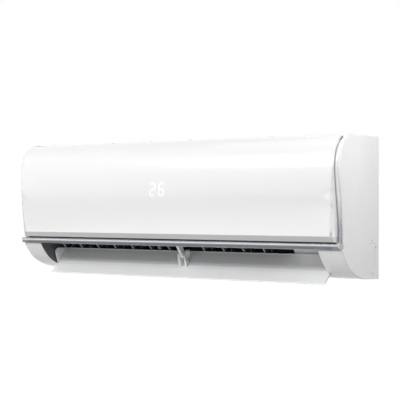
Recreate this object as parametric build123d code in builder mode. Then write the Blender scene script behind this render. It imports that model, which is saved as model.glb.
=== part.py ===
from build123d import *

import os
from math import cos, radians, sin

# Wall-mounted indoor unit of a split air-conditioner.
# Frame: X to the unit's right as seen from the front, the front faces -Y, +Z up.
# Y = 0 is the wall, and the origin is the centre of the wall screws at mid height.
# Profiles are given as (Y, Z) and run along X. Sizes are millimetres, angles degrees.

os.makedirs("parts", exist_ok=True)

# ---------------------------------------------------------------- driving dimensions
HALF_WIDTH = 402.5
HALF_HEIGHT = 146.0
WALL = 2.5  # moulded wall thickness
BODY_HALF = 397.1  # chassis and top grille, between the end covers

PANEL_HALF = 392.0
PANEL_HINGE = (-140.0, 136.0)
ARM_X = 361.0  # inner face of the panel's hinge arms
ARM_THICK = 5.0
LUG_X = 368.0  # inner face of the frame's hinge lugs
LUG_THICK = 4.0
NOTCH = (356.0, 374.0)  # cut-out round the hinge
NOSE_RADIUS = 17.0  # round front edge of the top grille, about the panel hinge

TRIM_INNER = 388.0
TRIM_LIP = 393.4
TRIM_OUTER = 397.1
TRIM_DEPTH = 9.0
TRIM_STEP = 1.6  # shadow gap behind the panel's sides
COVER_INNER = 397.1
COVER_PLATE = 399.5  # inner face of the end covers' side plates

BACK_FRONT, BACK_REAR = -6.0, -3.0  # chassis back wall
BACK_TOP = 143.0
CHANNEL_FRONT = -48.0
CHANNEL_TOP = -64.0

FAN_AXIS = (-92.0, -24.0)
FAN_RADIUS = 44.0
FAN_LEFT, FAN_RIGHT = -340.0, 246.0
FAN_BLADES, FAN_DISCS = 26, 7
DUCT_LEFT, DUCT_RIGHT = -346.5, 255.0
BULKHEAD = 3.0

FLAP_AXIS = (-124.0, -103.0)
FLAP_HALF = 349.0
FLAP_REST = 92.0  # open from closed, as the flap hangs in use
FLAP_SWEEP = 31.0  # radius kept free about the flap axis
FLAP_PIN_R = 3.4
PILLAR_INNER = 350.5
PIN_FIT = 0.05  # radial clearance of pins that turn

FLOW_ANGLE = 45.0  # the outlet blows forward and down
VANE_PITCH = 48.7
VANE_THICK = 2.0
VANES_LEFT = [-322.0 + VANE_PITCH * i for i in range(7)]
VANES_RIGHT = [59.0 + VANE_PITCH * i for i in range(4)]

FILTER_CENTRE = (-37.5, -10.0)
FILTER_RADIUS = 142.0
FILTER_START, FILTER_END = 98.0, 191.0
WINDOWS = [(-346.0, -44.0), (24.0, 256.0)]  # filter openings, left and right

# ---------------------------------------------------------------- shared profiles
# Outer face of the front panel, from its lower bevel to its top lip.
PANEL_FACE = [
    (-195.4, -55.0),
    (-200.7, 5.0),
    (-202.5, 42.0),
    (-198.4, 90.0),
    (-186.7, 118.5),
    (-170.0, 135.6),
    (-157.0, 141.0),
]
PANEL_BEVEL = (-189.5, -66.0)
# Rear edge of the panel's sides, which the trim follows.
PANEL_REAR = [
    (-178.6, -62.0),
    (-178.0, -43.0),
    (-182.0, -5.0),
    (-191.7, 53.0),
    (-193.6, 79.0),
    (-187.4, 105.9),
    (-168.4, 129.7),
]
# Front edge of the end covers, from the trim's corner to the top.
COVER_FRONT = [
    (-171.0, -79.0),
    (-171.5, -40.0),
    (-178.0, 15.0),
    (-189.0, 65.0),
    (-189.0, 100.0),
    (-176.0, 126.0),
    (-157.0, 139.5),
    (-117.0, 143.5),
]
# Underside, from the trim back to the wall.
UNDERSIDE = [
    (-179.0, -83.0),
    (-162.0, -104.0),
    (-146.0, -118.0),
    (-122.0, -130.0),
    (-97.0, -138.0),
    (-60.0, -143.0),
]
LIP = (-112.6, -131.3)  # lower edge of the outlet
TONGUE = (-131.5, -52.0)  # stabiliser edge beside the fan
TRAY_TOE = (-163.0, -77.0)
SCROLL_START = (-46.0, 2.0)
SCROLL_END = (-48.65, -67.3)


def side(x):
    """Sketch plane across the unit at x, with Y and Z as its axes."""
    return Plane.YZ.offset(x)


def shifted(points, dy, dz):
    """The same points moved across the unit, for the other face of a wall."""
    return [(y + dy, z + dz) for y, z in points]


def around(centre, radius, degrees):
    """Point at a radius and angle about a centre, from +Y towards +Z."""
    angle = radians(degrees)
    return (centre[0] + radius * cos(angle), centre[1] + radius * sin(angle))


def flow(along, across):
    """Point along the outlet's flow and across it, from the flap axis."""
    c = cos(radians(FLOW_ANGLE))
    s = sin(radians(FLOW_ANGLE))
    return (FLAP_AXIS[0] - along * c - across * s, FLAP_AXIS[1] - along * s + across * c)


def across_flow(x, along, across):
    """Sketch plane square to the vanes' pins, facing up and forward."""
    y, z = flow(along, across)
    c = cos(radians(FLOW_ANGLE))
    s = sin(radians(FLOW_ANGLE))
    return Plane(origin=(x, y, z), x_dir=(1, 0, 0), z_dir=(0, -s, c))


def write(builder, name):
    """Label a finished piece and write it."""
    builder.part.label = name
    export_step(builder.part, f"parts/{name}.step")


def mirrored(builder, name):
    """Write the same piece for the other end of the unit."""
    with BuildPart() as other:
        mirror(builder.part, about=Plane.YZ)
    write(other, name)


# ---------------------------------------------------------------- mounting plate
PLATE_THICK = 1.2
PLATE_HALF, PLATE_LOW, PLATE_HIGH = 330.0, -141.8, 118.0
WALL_HOLE_R = 3.0
WALL_HOLE_X, WALL_HOLE_Z = 400.0, 120.0  # spacing of the four wall screws
HOOK_X, HOOK_HALF, HOOK_Z = 240.0, 13.0, 92.0
HOOK_REACH, HOOK_RISE = -9.2, 9.0

with BuildPart() as mounting_plate:
    with BuildSketch(Plane.XZ):
        with Locations((0, (PLATE_LOW + PLATE_HIGH) / 2)):
            Rectangle(2 * PLATE_HALF, PLATE_HIGH - PLATE_LOW)
        chamfer(vertices(), 18)
        with GridLocations(WALL_HOLE_X, WALL_HOLE_Z, 2, 2):
            Circle(WALL_HOLE_R, mode=Mode.SUBTRACT)
        with GridLocations(100, 1, 6, 1):
            SlotOverall(70, 44, mode=Mode.SUBTRACT)
    extrude(amount=PLATE_THICK)
    for x in (-HOOK_X, HOOK_X):
        # Hook that the chassis hangs on.
        with BuildSketch(side(x - HOOK_HALF)):
            with BuildLine():
                Polyline(
                    (0, HOOK_Z),
                    (HOOK_REACH, HOOK_Z),
                    (HOOK_REACH, HOOK_Z + HOOK_RISE),
                    (HOOK_REACH + PLATE_THICK, HOOK_Z + HOOK_RISE),
                    (HOOK_REACH + PLATE_THICK, HOOK_Z + PLATE_THICK),
                    (0, HOOK_Z + PLATE_THICK),
                    close=True,
                )
            make_face()
        extrude(amount=2 * HOOK_HALF)
        # Spring tongue that holds the bottom edge.
        with BuildSketch(Plane.XY.offset(PLATE_LOW)):
            with Locations((x, -3.6)):
                Rectangle(40, 7.2)
        extrude(amount=PLATE_THICK)
write(mounting_plate, "mounting_plate")

# ---------------------------------------------------------------- base chassis
CRADLES = (272.0, 306.0)
CRADLE_R, CRADLE_THICK = 46.2, 3.0
SHAFT_HOLE_R = 15.0
WELL_RIGHT = 350.5
WELL_THICK = 2.5
VANE_PIN_R = 2.5
VANE_PIN_ALONG = -37.0
FLOOR_ACROSS = -28.05  # outlet floor, across the flow from the flap axis
SPIGOT_HOLE = (-160.0, -61.0)
SPIGOT_R = 8.0

ROOF_FRONT = -42.3  # inside the scroll's wall, which the channel roof meets

# Underside from the outlet lip to the sill along the wall.
with BuildPart() as underside_pan:
    with BuildSketch(side(-BODY_HALF)):
        with BuildLine():
            Polyline((-60, -143), (0, -146), (0, -143.4), (-60, -140.4), close=True)
        make_face()
    extrude(amount=2 * BODY_HALF)
    with BuildSketch(side(-WELL_RIGHT)):
        with BuildLine():
            Polyline(LIP, (-114, -132.9), UNDERSIDE[-2], UNDERSIDE[-1])
            Polyline(UNDERSIDE[-1], (-60, -140.4), (-97, -135.4), (-108, -132), LIP)
        make_face()
    extrude(amount=2 * WELL_RIGHT)
write(underside_pan, "underside_pan")

# Fan scroll with the outlet floor and the rear trough under the coil.
with BuildPart() as fan_scroll:
    with BuildSketch(side(DUCT_LEFT)):
        with BuildLine():
            Polyline((BACK_FRONT, -2), (-46, -2), (-48.5, 2), (-48.5, 8), (-46, 8), (-44, 0.5))
            Polyline((-44, 0.5), (BACK_FRONT, 0.5), (BACK_FRONT, -2))
        make_face()
    extrude(amount=DUCT_RIGHT - DUCT_LEFT)
    with BuildSketch(side(DUCT_LEFT)):
        with BuildLine():
            TangentArc(SCROLL_END, SCROLL_START, tangent=(1, 1))
            Line(SCROLL_END, LIP)
            offset(amount=WALL, side=Side.RIGHT, closed=True)
        make_face()
    extrude(amount=DUCT_RIGHT - DUCT_LEFT)
    # Bearings of the vanes' pins in the outlet floor.
    for x in VANES_LEFT + VANES_RIGHT:
        with BuildSketch(across_flow(x, VANE_PIN_ALONG, FLOOR_ACROSS)):
            Circle(VANE_PIN_R + PIN_FIT)
        extrude(amount=-WALL - 1, mode=Mode.SUBTRACT)
    add(underside_pan.part, mode=Mode.SUBTRACT)
write(fan_scroll, "fan_scroll")

# Back wall and the roof of the pipe channel.
with BuildPart() as base_chassis:
    with BuildSketch(side(-BODY_HALF)):
        with Locations(((BACK_FRONT + BACK_REAR) / 2, (BACK_TOP + CHANNEL_TOP) / 2)):
            Rectangle(BACK_REAR - BACK_FRONT, BACK_TOP - CHANNEL_TOP)
    extrude(amount=2 * BODY_HALF)
    with BuildSketch(side(DUCT_LEFT)):
        with Locations(((ROOF_FRONT + BACK_REAR) / 2, CHANNEL_TOP + WALL / 2)):
            Rectangle(BACK_REAR - ROOF_FRONT, WALL)
    extrude(amount=DUCT_RIGHT - DUCT_LEFT)
    with BuildSketch(side(DUCT_RIGHT)):
        with Locations(((CHANNEL_FRONT + BACK_REAR) / 2, CHANNEL_TOP + WALL / 2)):
            Rectangle(BACK_REAR - CHANNEL_FRONT, WALL)
    extrude(amount=BODY_HALF - DUCT_RIGHT)
    # Slots for the plate's hooks, and the pipes' way down into the channel.
    with BuildSketch(Plane.XZ.offset(-BACK_REAR)):
        with Locations((-HOOK_X, HOOK_Z - 5.4), (HOOK_X, HOOK_Z - 5.4)):
            Rectangle(2 * HOOK_HALF + 2, 13.2)
    extrude(amount=BACK_REAR - BACK_FRONT, mode=Mode.SUBTRACT)
    with BuildSketch(Plane.XY.offset(CHANNEL_TOP)):
        with Locations((275, -22)):
            Rectangle(34, 24)
    extrude(amount=WALL, mode=Mode.SUBTRACT)
    add(fan_scroll.part, mode=Mode.SUBTRACT)
write(base_chassis, "base_chassis")

# Bulkheads at the ends of the duct.
with BuildPart() as duct_bulkheads:
    for x in (DUCT_LEFT - BULKHEAD, DUCT_RIGHT):
        with BuildSketch(side(x)):
            with BuildLine():
                Polyline(
                    (BACK_FRONT, 2),
                    (BACK_FRONT, CHANNEL_TOP),
                    (CHANNEL_FRONT, CHANNEL_TOP),
                    (-112, -132.5),
                    TRAY_TOE,
                    (-173, -77),
                    (-173, -44),
                    (-141, -44),
                    (-141, 22),
                    (-48, 22),
                    (-48, 2),
                    close=True,
                )
            make_face()
            with Locations(FLAP_AXIS):
                Circle(FLAP_SWEEP, mode=Mode.SUBTRACT)
            with BuildLine():
                Polyline(flow(3, 60), flow(40, 60), flow(40, -40), flow(3, -40), close=True)
            make_face(mode=Mode.SUBTRACT)
            with Locations(FAN_AXIS):
                Circle(SHAFT_HOLE_R, mode=Mode.SUBTRACT)
        extrude(amount=BULKHEAD)
    with BuildSketch(side(DUCT_LEFT - BULKHEAD)):
        with Locations(SPIGOT_HOLE):
            Circle(SPIGOT_R)
    extrude(amount=BULKHEAD, mode=Mode.SUBTRACT)
    add(base_chassis.part, mode=Mode.SUBTRACT)
    add(underside_pan.part, mode=Mode.SUBTRACT)
write(duct_bulkheads, "duct_bulkheads")

# Motor cradle: the round well behind the flap, two ribs and the channel's front.
CRADLE_LEFT = DUCT_RIGHT + BULKHEAD

with BuildPart() as motor_cradle:
    with BuildSketch(side(CRADLE_LEFT)):
        with BuildLine():
            Polyline((-48, -62), (-48, -141.5), (-50.5, -141.5), (-50.5, -62), close=True)
        make_face()
    extrude(amount=BODY_HALF - CRADLE_LEFT)
    with BuildSketch(side(CRADLE_LEFT)):
        with BuildLine():
            well = CenterArc(FLAP_AXIS, FLAP_SWEEP, -66, 171)
            Line(well @ 1, TRAY_TOE)
            offset(amount=WELL_THICK, side=Side.RIGHT, closed=True)
        make_face()
    extrude(amount=WELL_RIGHT - CRADLE_LEFT)
    for x in CRADLES:
        with BuildSketch(side(x)):
            with Locations((-93.5, -51)):
                Rectangle(97, 54)
            with Locations(FAN_AXIS):
                Circle(CRADLE_R, mode=Mode.SUBTRACT)
            with Locations(FLAP_AXIS):
                Circle(FLAP_SWEEP + 1, mode=Mode.SUBTRACT)
        extrude(amount=CRADLE_THICK)
    add(base_chassis.part, mode=Mode.SUBTRACT)
    add(underside_pan.part, mode=Mode.SUBTRACT)
write(motor_cradle, "motor_cradle")

# ---------------------------------------------------------------- top intake grille
SLOT_X, SLOT_Y = 18.0, 26.0
SLOT_PITCH_X, SLOT_PITCH_Y = 24.0, 32.0
NOTCH_REAR = -122.0

with BuildPart() as top_grille:
    with BuildSketch(side(-BODY_HALF)):
        nose_top = (-155.9, 141.6)
        nose_low = around(PANEL_HINGE, NOSE_RADIUS, 190)
        with BuildLine():
            ThreePointArc(nose_low, around(PANEL_HINGE, NOSE_RADIUS, 175), nose_top)
            Polyline(nose_top, (-117, 144.4), (0, HALF_HEIGHT), (0, 136), (-2.5, 136), (-2.5, 143.4))
            Polyline((-2.5, 143.4), (-117, 141.8), (-152.5, 139.2), (-154.2, 133.2), nose_low)
        make_face()
    extrude(amount=2 * BODY_HALF)
    with BuildSketch(Plane.XY.offset(HALF_HEIGHT + 1)):
        with Locations((0, -67)):
            with GridLocations(SLOT_PITCH_X, SLOT_PITCH_Y, 28, 3):
                Rectangle(SLOT_X, SLOT_Y)
        notch_width = NOTCH[1] - NOTCH[0]
        for x in (-NOTCH[0] - notch_width / 2, NOTCH[0] + notch_width / 2):
            with Locations((x, NOTCH_REAR - 20)):
                Rectangle(notch_width, 40)
    extrude(amount=-20, mode=Mode.SUBTRACT)
write(top_grille, "top_grille")

# ---------------------------------------------------------------- end covers and knock-outs
PILLAR_TOP = -81.6
KNOCKOUT_CENTRE = (-37.5, -101.5)
KNOCKOUT = (29.0, 60.0)
KNOCKOUT_CORNER = 6.0
KNOCKOUT_GAP = 0.5
KNOCKOUT_FLANGE = 1.2
CLIP_SLOTS = [(-37.0, -66.0), (-18.0, -80.0), (-30.0, -136.5)]  # beside the knock-out

with BuildPart() as right_end_cover:
    with BuildSketch(side(COVER_INNER)):
        with BuildLine():
            Polyline((-117, 143.5), (0, HALF_HEIGHT), (0, -HALF_HEIGHT), (-60, -143))
            Spline(*UNDERSIDE)
            Line(UNDERSIDE[0], COVER_FRONT[0])
            Spline(*COVER_FRONT)
        make_face()
    extrude(amount=HALF_WIDTH - COVER_INNER)
    fillet(faces().sort_by(Axis.X)[-1].outer_wire().edges(), 3.5)
    with BuildSketch(side(COVER_INNER)):
        inner_front = shifted(COVER_FRONT, WALL, -WALL)
        inner_under = shifted(UNDERSIDE, WALL, WALL)
        with BuildLine():
            Polyline(inner_front[-1], (-WALL, 143.4), (-WALL, -143.2), inner_under[-1])
            Spline(*inner_under)
            Line(inner_under[0], inner_front[0])
            Spline(*inner_front)
        make_face()
    extrude(amount=COVER_PLATE - COVER_INNER, mode=Mode.SUBTRACT)
    # Pillar beside the outlet, a shell that is open upwards.
    with BuildSketch(side(PILLAR_INNER)):
        with BuildLine():
            Spline(*UNDERSIDE)
            Polyline(UNDERSIDE[-1], (-60, -120), (-100, PILLAR_TOP), (-178.2, PILLAR_TOP), UNDERSIDE[0])
        make_face()
    extrude(amount=COVER_PLATE - PILLAR_INNER)
    with BuildSketch(side(PILLAR_INNER + WALL)):
        with BuildLine():
            Spline(*inner_under)
            Polyline(inner_under[-1], (-50, -140.5), (-50, -70), (inner_under[0][0], -70), inner_under[0])
        make_face()
    extrude(amount=COVER_PLATE - PILLAR_INNER - WALL, mode=Mode.SUBTRACT)
    with BuildSketch(side(PILLAR_INNER)):
        with Locations(FLAP_AXIS):
            Circle(FLAP_PIN_R + PIN_FIT)
    extrude(amount=WALL, mode=Mode.SUBTRACT)
    with BuildSketch(side(COVER_PLATE)):
        with Locations(KNOCKOUT_CENTRE):
            RectangleRounded(*KNOCKOUT, KNOCKOUT_CORNER)
        with Locations(*CLIP_SLOTS):
            Rectangle(3.4, 2.2)
    extrude(amount=HALF_WIDTH - COVER_PLATE, mode=Mode.SUBTRACT)
write(right_end_cover, "right_end_cover")
mirrored(right_end_cover, "left_end_cover")

with BuildPart() as right_knockout:
    with BuildSketch(side(COVER_PLATE)):
        with Locations(KNOCKOUT_CENTRE):
            plug_width, plug_height = KNOCKOUT[0] - 2 * KNOCKOUT_GAP, KNOCKOUT[1] - 2 * KNOCKOUT_GAP
            RectangleRounded(plug_width, plug_height, KNOCKOUT_CORNER - KNOCKOUT_GAP)
    extrude(amount=HALF_WIDTH - COVER_PLATE - 0.3)
    # Flange that clips behind the side plate.
    with BuildSketch(side(COVER_PLATE - KNOCKOUT_FLANGE)):
        with Locations(KNOCKOUT_CENTRE):
            RectangleRounded(KNOCKOUT[0] + 4, KNOCKOUT[1] + 4, KNOCKOUT_CORNER + 2)
    extrude(amount=KNOCKOUT_FLANGE)
write(right_knockout, "right_knockout")
mirrored(right_knockout, "left_knockout")

# ---------------------------------------------------------------- front frame
FRAME_GAP = 5.0  # from the panel's outer face to the frame's front
FRAME_HALF = 388.0
FRAME_SIDE_REAR = -172.0
WINDOW_LOW, WINDOW_HIGH = -44.0, 96.0
RIB_INNER, RIB_OUTER = 136.5, 140.2  # ribs just behind the filters
GUIDE, GUIDE_LOW, GUIDE_REAR = 3.0, -44.0, -57.0
LENS_X, LENS_Z = (-33.0, 13.0), (21.0, 55.0)
LENS_FRONT, LENS_REAR = -197.0, -193.5
LENS_CENTRE = (sum(LENS_X) / 2, sum(LENS_Z) / 2)
BUTTON_X, BUTTON_Z = 300.0, -38.0
BUTTON_R, BUTTON_FIT = 4.0, 0.3
BUTTON_REAR = -186.0  # front of its collar
HINGE_SLOT_X, HINGE_SLOT_Z = 363.0, 125.0

FRAME_OUTER = shifted(PANEL_FACE, FRAME_GAP, -FRAME_GAP)
FRAME_REAR = shifted(PANEL_FACE, FRAME_GAP + WALL, -FRAME_GAP - WALL)

with BuildPart() as front_frame:
    with BuildSketch(side(-FRAME_HALF)):
        with BuildLine():
            Spline(*FRAME_OUTER)
            Line(FRAME_OUTER[-1], FRAME_REAR[-1])
            Spline(*FRAME_REAR)
            Line(FRAME_REAR[0], FRAME_OUTER[0])
        make_face()
        with Locations((-180, 37)):
            Rectangle(40, 210, mode=Mode.INTERSECT)
    extrude(amount=2 * FRAME_HALF)
    # Side walls, which the trim's rails lie against.
    for x in (-FRAME_HALF, FRAME_HALF - WALL):
        with BuildSketch(side(x)):
            with BuildLine():
                Spline(*FRAME_OUTER)
                Polyline(FRAME_OUTER[-1], (FRAME_SIDE_REAR, 118), (FRAME_SIDE_REAR, -60), FRAME_OUTER[0])
            make_face()
            with Locations((-180, 37)):
                Rectangle(40, 210, mode=Mode.INTERSECT)
        extrude(amount=WALL)
    # Windows, display window, button hole and hinge notches.
    with BuildSketch(Plane.XZ.offset(150)):
        for left, right in WINDOWS:
            with Locations(((left + right) / 2, (WINDOW_LOW + WINDOW_HIGH) / 2)):
                Rectangle(right - left, WINDOW_HIGH - WINDOW_LOW)
        with Locations(LENS_CENTRE):
            Rectangle(LENS_X[1] - LENS_X[0], LENS_Z[1] - LENS_Z[0])
        with Locations((BUTTON_X, BUTTON_Z)):
            Circle(BUTTON_R + BUTTON_FIT)
        with Locations((-HINGE_SLOT_X, HINGE_SLOT_Z), (HINGE_SLOT_X, HINGE_SLOT_Z)):
            Rectangle(10, 40)
    extrude(amount=60, mode=Mode.SUBTRACT)
    # Rim behind the display window, and the boss that guides the button.
    with BuildSketch(Plane.XZ.offset(-LENS_REAR)):
        with Locations(LENS_CENTRE):
            Rectangle(LENS_X[1] - LENS_X[0] + 8, LENS_Z[1] - LENS_Z[0] + 8)
            Rectangle(LENS_X[1] - LENS_X[0], LENS_Z[1] - LENS_Z[0], mode=Mode.SUBTRACT)
    extrude(amount=2.4)
    with BuildSketch(Plane.XZ.offset(-BUTTON_REAR + BUTTON_FIT)):
        with Locations((BUTTON_X, BUTTON_Z)):
            Circle(BUTTON_R + 3)
            Circle(BUTTON_R + BUTTON_FIT, mode=Mode.SUBTRACT)
    extrude(amount=4)
    # Lugs that carry the panel's hinge pins.
    for x in (-LUG_X - LUG_THICK, LUG_X):
        with BuildSketch(side(x)):
            with Locations(PANEL_HINGE):
                Circle(4.5)
            with Locations((-163, 126), (-170, 118)):
                Circle(2.5)
            make_hull()
            with Locations(PANEL_HINGE):
                Circle(2.5 + PIN_FIT, mode=Mode.SUBTRACT)
        extrude(amount=LUG_THICK)
write(front_frame, "front_frame")

# Guide walls beside each filter.
with BuildPart() as filter_guides:
    for left, right in WINDOWS:
        for x in (left - GUIDE, right):
            with BuildSketch(side(x)):
                with BuildLine():
                    Spline(*FRAME_REAR)
                    Polyline(FRAME_REAR[-1], (GUIDE_REAR, 133.5), (GUIDE_REAR, GUIDE_LOW))
                    Polyline((GUIDE_REAR, GUIDE_LOW), (FRAME_REAR[0][0], GUIDE_LOW), FRAME_REAR[0])
                make_face()
                with Locations(FILTER_CENTRE):
                    Circle(RIB_INNER, mode=Mode.SUBTRACT)
            extrude(amount=GUIDE)
write(filter_guides, "filter_guides")

# Curved ribs behind each filter, on the ledge between its guides.
with BuildPart() as filter_ribs:
    for left, right in WINDOWS:
        spacing = (right - left) / 4
        for x in [left + spacing * i - GUIDE / 2 for i in (1, 2, 3)]:
            with BuildSketch(side(x)):
                with BuildLine():
                    inner = CenterArc(FILTER_CENTRE, RIB_INNER, FILTER_START, FILTER_END - FILTER_START + 2)
                    outer = CenterArc(FILTER_CENTRE, RIB_OUTER, FILTER_START, FILTER_END - FILTER_START + 2)
                    Line(inner @ 0, outer @ 0)
                    Line(inner @ 1, outer @ 1)
                make_face()
            extrude(amount=GUIDE)
        with BuildSketch(side(left)):
            with BuildLine():
                Polyline(
                    around(FILTER_CENTRE, RIB_INNER, FILTER_END + 0.3),
                    around(FILTER_CENTRE, 153.5, FILTER_END + 0.3),
                    around(FILTER_CENTRE, 153.5, FILTER_END + 2),
                    around(FILTER_CENTRE, RIB_INNER, FILTER_END + 2),
                    close=True,
                )
            make_face()
        extrude(amount=right - left)
write(filter_ribs, "filter_ribs")

# ---------------------------------------------------------------- front panel
BEVEL_WIDTH, BEVEL_DEPTH = 10.0, 6.0
BEVEL_SECTIONS = [(-70.0, -192.5, 1.0), (-20.0, -198.2, 0.8), (40.0, -202.6, 0.45), (100.0, -196.0, 0.12)]

with BuildPart() as front_panel:
    with BuildSketch(side(-PANEL_HALF)):
        with BuildLine():
            Spline(*PANEL_FACE)
            Polyline(PANEL_FACE[-1], (-157.3, 138.5), PANEL_REAR[-1])
            Spline(*PANEL_REAR)
            Polyline(PANEL_REAR[0], (-178.6, -66), PANEL_BEVEL, PANEL_FACE[0])
        make_face()
    extrude(amount=2 * PANEL_HALF)
    # Bevels that widen down both sides.
    for hand in (-1, 1):
        for z, face_y, share in BEVEL_SECTIONS:
            with BuildSketch(Plane.XY.offset(z)):
                with BuildLine():
                    edge = hand * (PANEL_HALF + 0.5)
                    Polyline(
                        (edge, face_y - 0.5),
                        (edge, face_y + BEVEL_DEPTH * share),
                        (edge - hand * BEVEL_WIDTH * share, face_y - 0.5),
                        close=True,
                    )
                make_face()
        loft(ruled=True, mode=Mode.SUBTRACT)
    # Hollow back.
    with BuildSketch(side(-PANEL_HALF + WALL)):
        panel_inner = shifted(PANEL_FACE, WALL, -WALL)
        with BuildLine():
            Spline(*panel_inner)
            lower = PANEL_BEVEL[1] + WALL
            Polyline(panel_inner[-1], (-140, 138.5), (-140, lower))
            Polyline((-140, lower), (PANEL_BEVEL[0] + WALL, lower), panel_inner[0])
        make_face()
    extrude(amount=2 * (PANEL_HALF - WALL), mode=Mode.SUBTRACT)
    # Hinge arms and pins.
    for x, reach in ((-ARM_X - ARM_THICK, -LUG_THICK - 2.4), (ARM_X, LUG_THICK + 2.4)):
        with BuildSketch(side(x)):
            with Locations(PANEL_HINGE):
                Circle(4.5)
            with Locations((-165, 134.5), (-178, 123.5)):
                Circle(1.5)
            make_hull()
        extrude(amount=ARM_THICK)
        outer = x if reach < 0 else x + ARM_THICK
        with BuildSketch(side(outer)):
            with Locations(PANEL_HINGE):
                Circle(2.5)
        extrude(amount=reach)
write(front_panel, "front_panel")

# ---------------------------------------------------------------- trim, fascia and drip tray
BAR_TOP, BAR_LOW, BAR_REAR = -69.0, -81.5, -176.0

with BuildPart() as trim_frame:
    # Bar under the panel, with a bulging front.
    with BuildSketch(side(-TRIM_OUTER)):
        with BuildLine():
            ThreePointArc((-181, BAR_LOW), (-187.6, -77.2), (-189.5, -70.5))
            Line((-189.5, -70.5), (-188, BAR_TOP))
            Polyline((-188, BAR_TOP), (BAR_REAR, BAR_TOP), (BAR_REAR, BAR_LOW), (-181, BAR_LOW))
        make_face()
    extrude(amount=2 * TRIM_OUTER)
    # Rails that rise along both sides, stepped back behind the panel's edge.
    rear_edge = shifted(PANEL_REAR, TRIM_DEPTH, 0)
    for step, near, far in ((TRIM_STEP, TRIM_INNER, TRIM_LIP), (0, TRIM_LIP, TRIM_OUTER)):
        front_edge = shifted(PANEL_REAR, step, 0)
        for x in (-far, near):
            with BuildSketch(side(x)):
                with BuildLine():
                    Spline(*front_edge)
                    Line(front_edge[-1], rear_edge[-1])
                    Spline(*rear_edge)
                    Polyline(
                        rear_edge[0],
                        (rear_edge[0][0], BAR_TOP),
                        (front_edge[0][0], BAR_TOP),
                        front_edge[0],
                    )
                make_face()
            extrude(amount=far - near)
write(trim_frame, "trim_frame")

FASCIA_LOW = -79.3
with BuildPart() as lower_fascia:
    with BuildSketch(side(-FRAME_HALF)):
        with BuildLine():
            Polyline(
                (BAR_REAR, -62),
                (BAR_REAR, FASCIA_LOW),
                (-165, FASCIA_LOW),
                (-165, TRAY_TOE[1]),
                (-173.5, TRAY_TOE[1]),
                (-173.5, -62),
                close=True,
            )
        make_face()
    extrude(amount=2 * FRAME_HALF)
write(lower_fascia, "lower_fascia")

TRAY_TOP = -44.2
with BuildPart() as drip_tray:
    with BuildSketch(side(DUCT_LEFT)):
        with BuildLine():
            Polyline(
                (-173.3, TRAY_TOP),
                (-173.3, TRAY_TOE[1]),
                TRAY_TOE,
                TONGUE,
                (-138.5, -38),
                (-141, -38),
                (-136.5, -50.5),
                (-164, -73.5),
                (-170.5, -73.5),
                (-170.5, TRAY_TOP),
                close=True,
            )
        make_face()
    extrude(amount=DUCT_RIGHT - DUCT_LEFT)
    # End walls, the left one with the drain hole.
    for x in (DUCT_LEFT, DUCT_RIGHT - WALL):
        with BuildSketch(side(x)):
            with BuildLine():
                Polyline((-140, TRAY_TOP), (-172, TRAY_TOP), (-172, -75), (-163.5, -75))
                Polyline((-163.5, -75), (-134, -51), (-140, TRAY_TOP))
            make_face()
        extrude(amount=WALL)
    with BuildSketch(side(DUCT_LEFT)):
        with Locations(SPIGOT_HOLE):
            Circle(SPIGOT_R - 1.5)
    extrude(amount=WALL, mode=Mode.SUBTRACT)
write(drip_tray, "drip_tray")

SPIGOT_STOP = -86.0  # the hose is pushed on up to here
SPIGOT_PATH = [
    (DUCT_LEFT, *SPIGOT_HOLE),
    (-374, *SPIGOT_HOLE),
    (-374, -124, -84),
    (-374, -62, -84),
]
with BuildPart() as drain_spigot:
    with BuildLine() as spigot_path:
        FilletPolyline(*SPIGOT_PATH, radius=12)
    with BuildSketch(Plane(origin=SPIGOT_PATH[0], z_dir=(-1, 0, 0))):
        Circle(SPIGOT_R)
        Circle(SPIGOT_R - 1.5, mode=Mode.SUBTRACT)
    sweep(path=spigot_path.line)
    # Collar that stops the hose.
    with BuildSketch(Plane.XZ.offset(-SPIGOT_STOP)):
        with Locations((SPIGOT_PATH[-1][0], SPIGOT_PATH[-1][2])):
            Circle(SPIGOT_R + 2)
            Circle(SPIGOT_R - 0.5, mode=Mode.SUBTRACT)
    extrude(amount=2)
write(drain_spigot, "drain_spigot")

# ---------------------------------------------------------------- evaporator
COIL_THICK = 22.0
COIL_LEFT, COIL_RIGHT = -338.0, 243.0
SHEET = 1.5
TUBE_R, BEND_R = 3.5, 10.5
# Each slab: middle of its lower end, direction in (Y, Z) and length.
SLABS = [
    ((-157.0, -45.0), (0.0, 1.0), 65.0),
    ((-155.0, 30.0), (0.6, 0.8), 80.0),
    ((-83.0, 94.0), (0.52, -0.8542), 90.0),
]


def slab_outline(start, heading, length, thick):
    """Corners of a coil slab's section."""
    dy, dz = heading
    half = thick / 2
    y, z = start
    return [
        (y - dz * half, z + dy * half),
        (y + dz * half, z - dy * half),
        (y + dy * length + dz * half, z + dz * length - dy * half),
        (y + dy * length - dz * half, z + dz * length + dy * half),
    ]


with BuildPart() as fin_packs:
    for start, heading, length in SLABS:
        with BuildSketch(side(COIL_LEFT)):
            with BuildLine():
                Polyline(*slab_outline(start, heading, length, COIL_THICK), close=True)
            make_face()
        extrude(amount=COIL_RIGHT - COIL_LEFT)
write(fin_packs, "fin_packs")

# Plates that join the slabs' ends, and the legs that stand in the two troughs.
SHEET_LINKS = [
    [(-167.5, 12), (-147, 12), (-145, 42), (-165.5, 36)],
    [(-117, 86), (-84, 80), (-76, 98), (-111, 100)],
    [(-169.8, -73.5), (-165, -73.5), (-160, -40), (-168, -40)],
    [(-40, 0.5), (-34, 0.5), (-32, 22), (-40, 22)],
]

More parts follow.
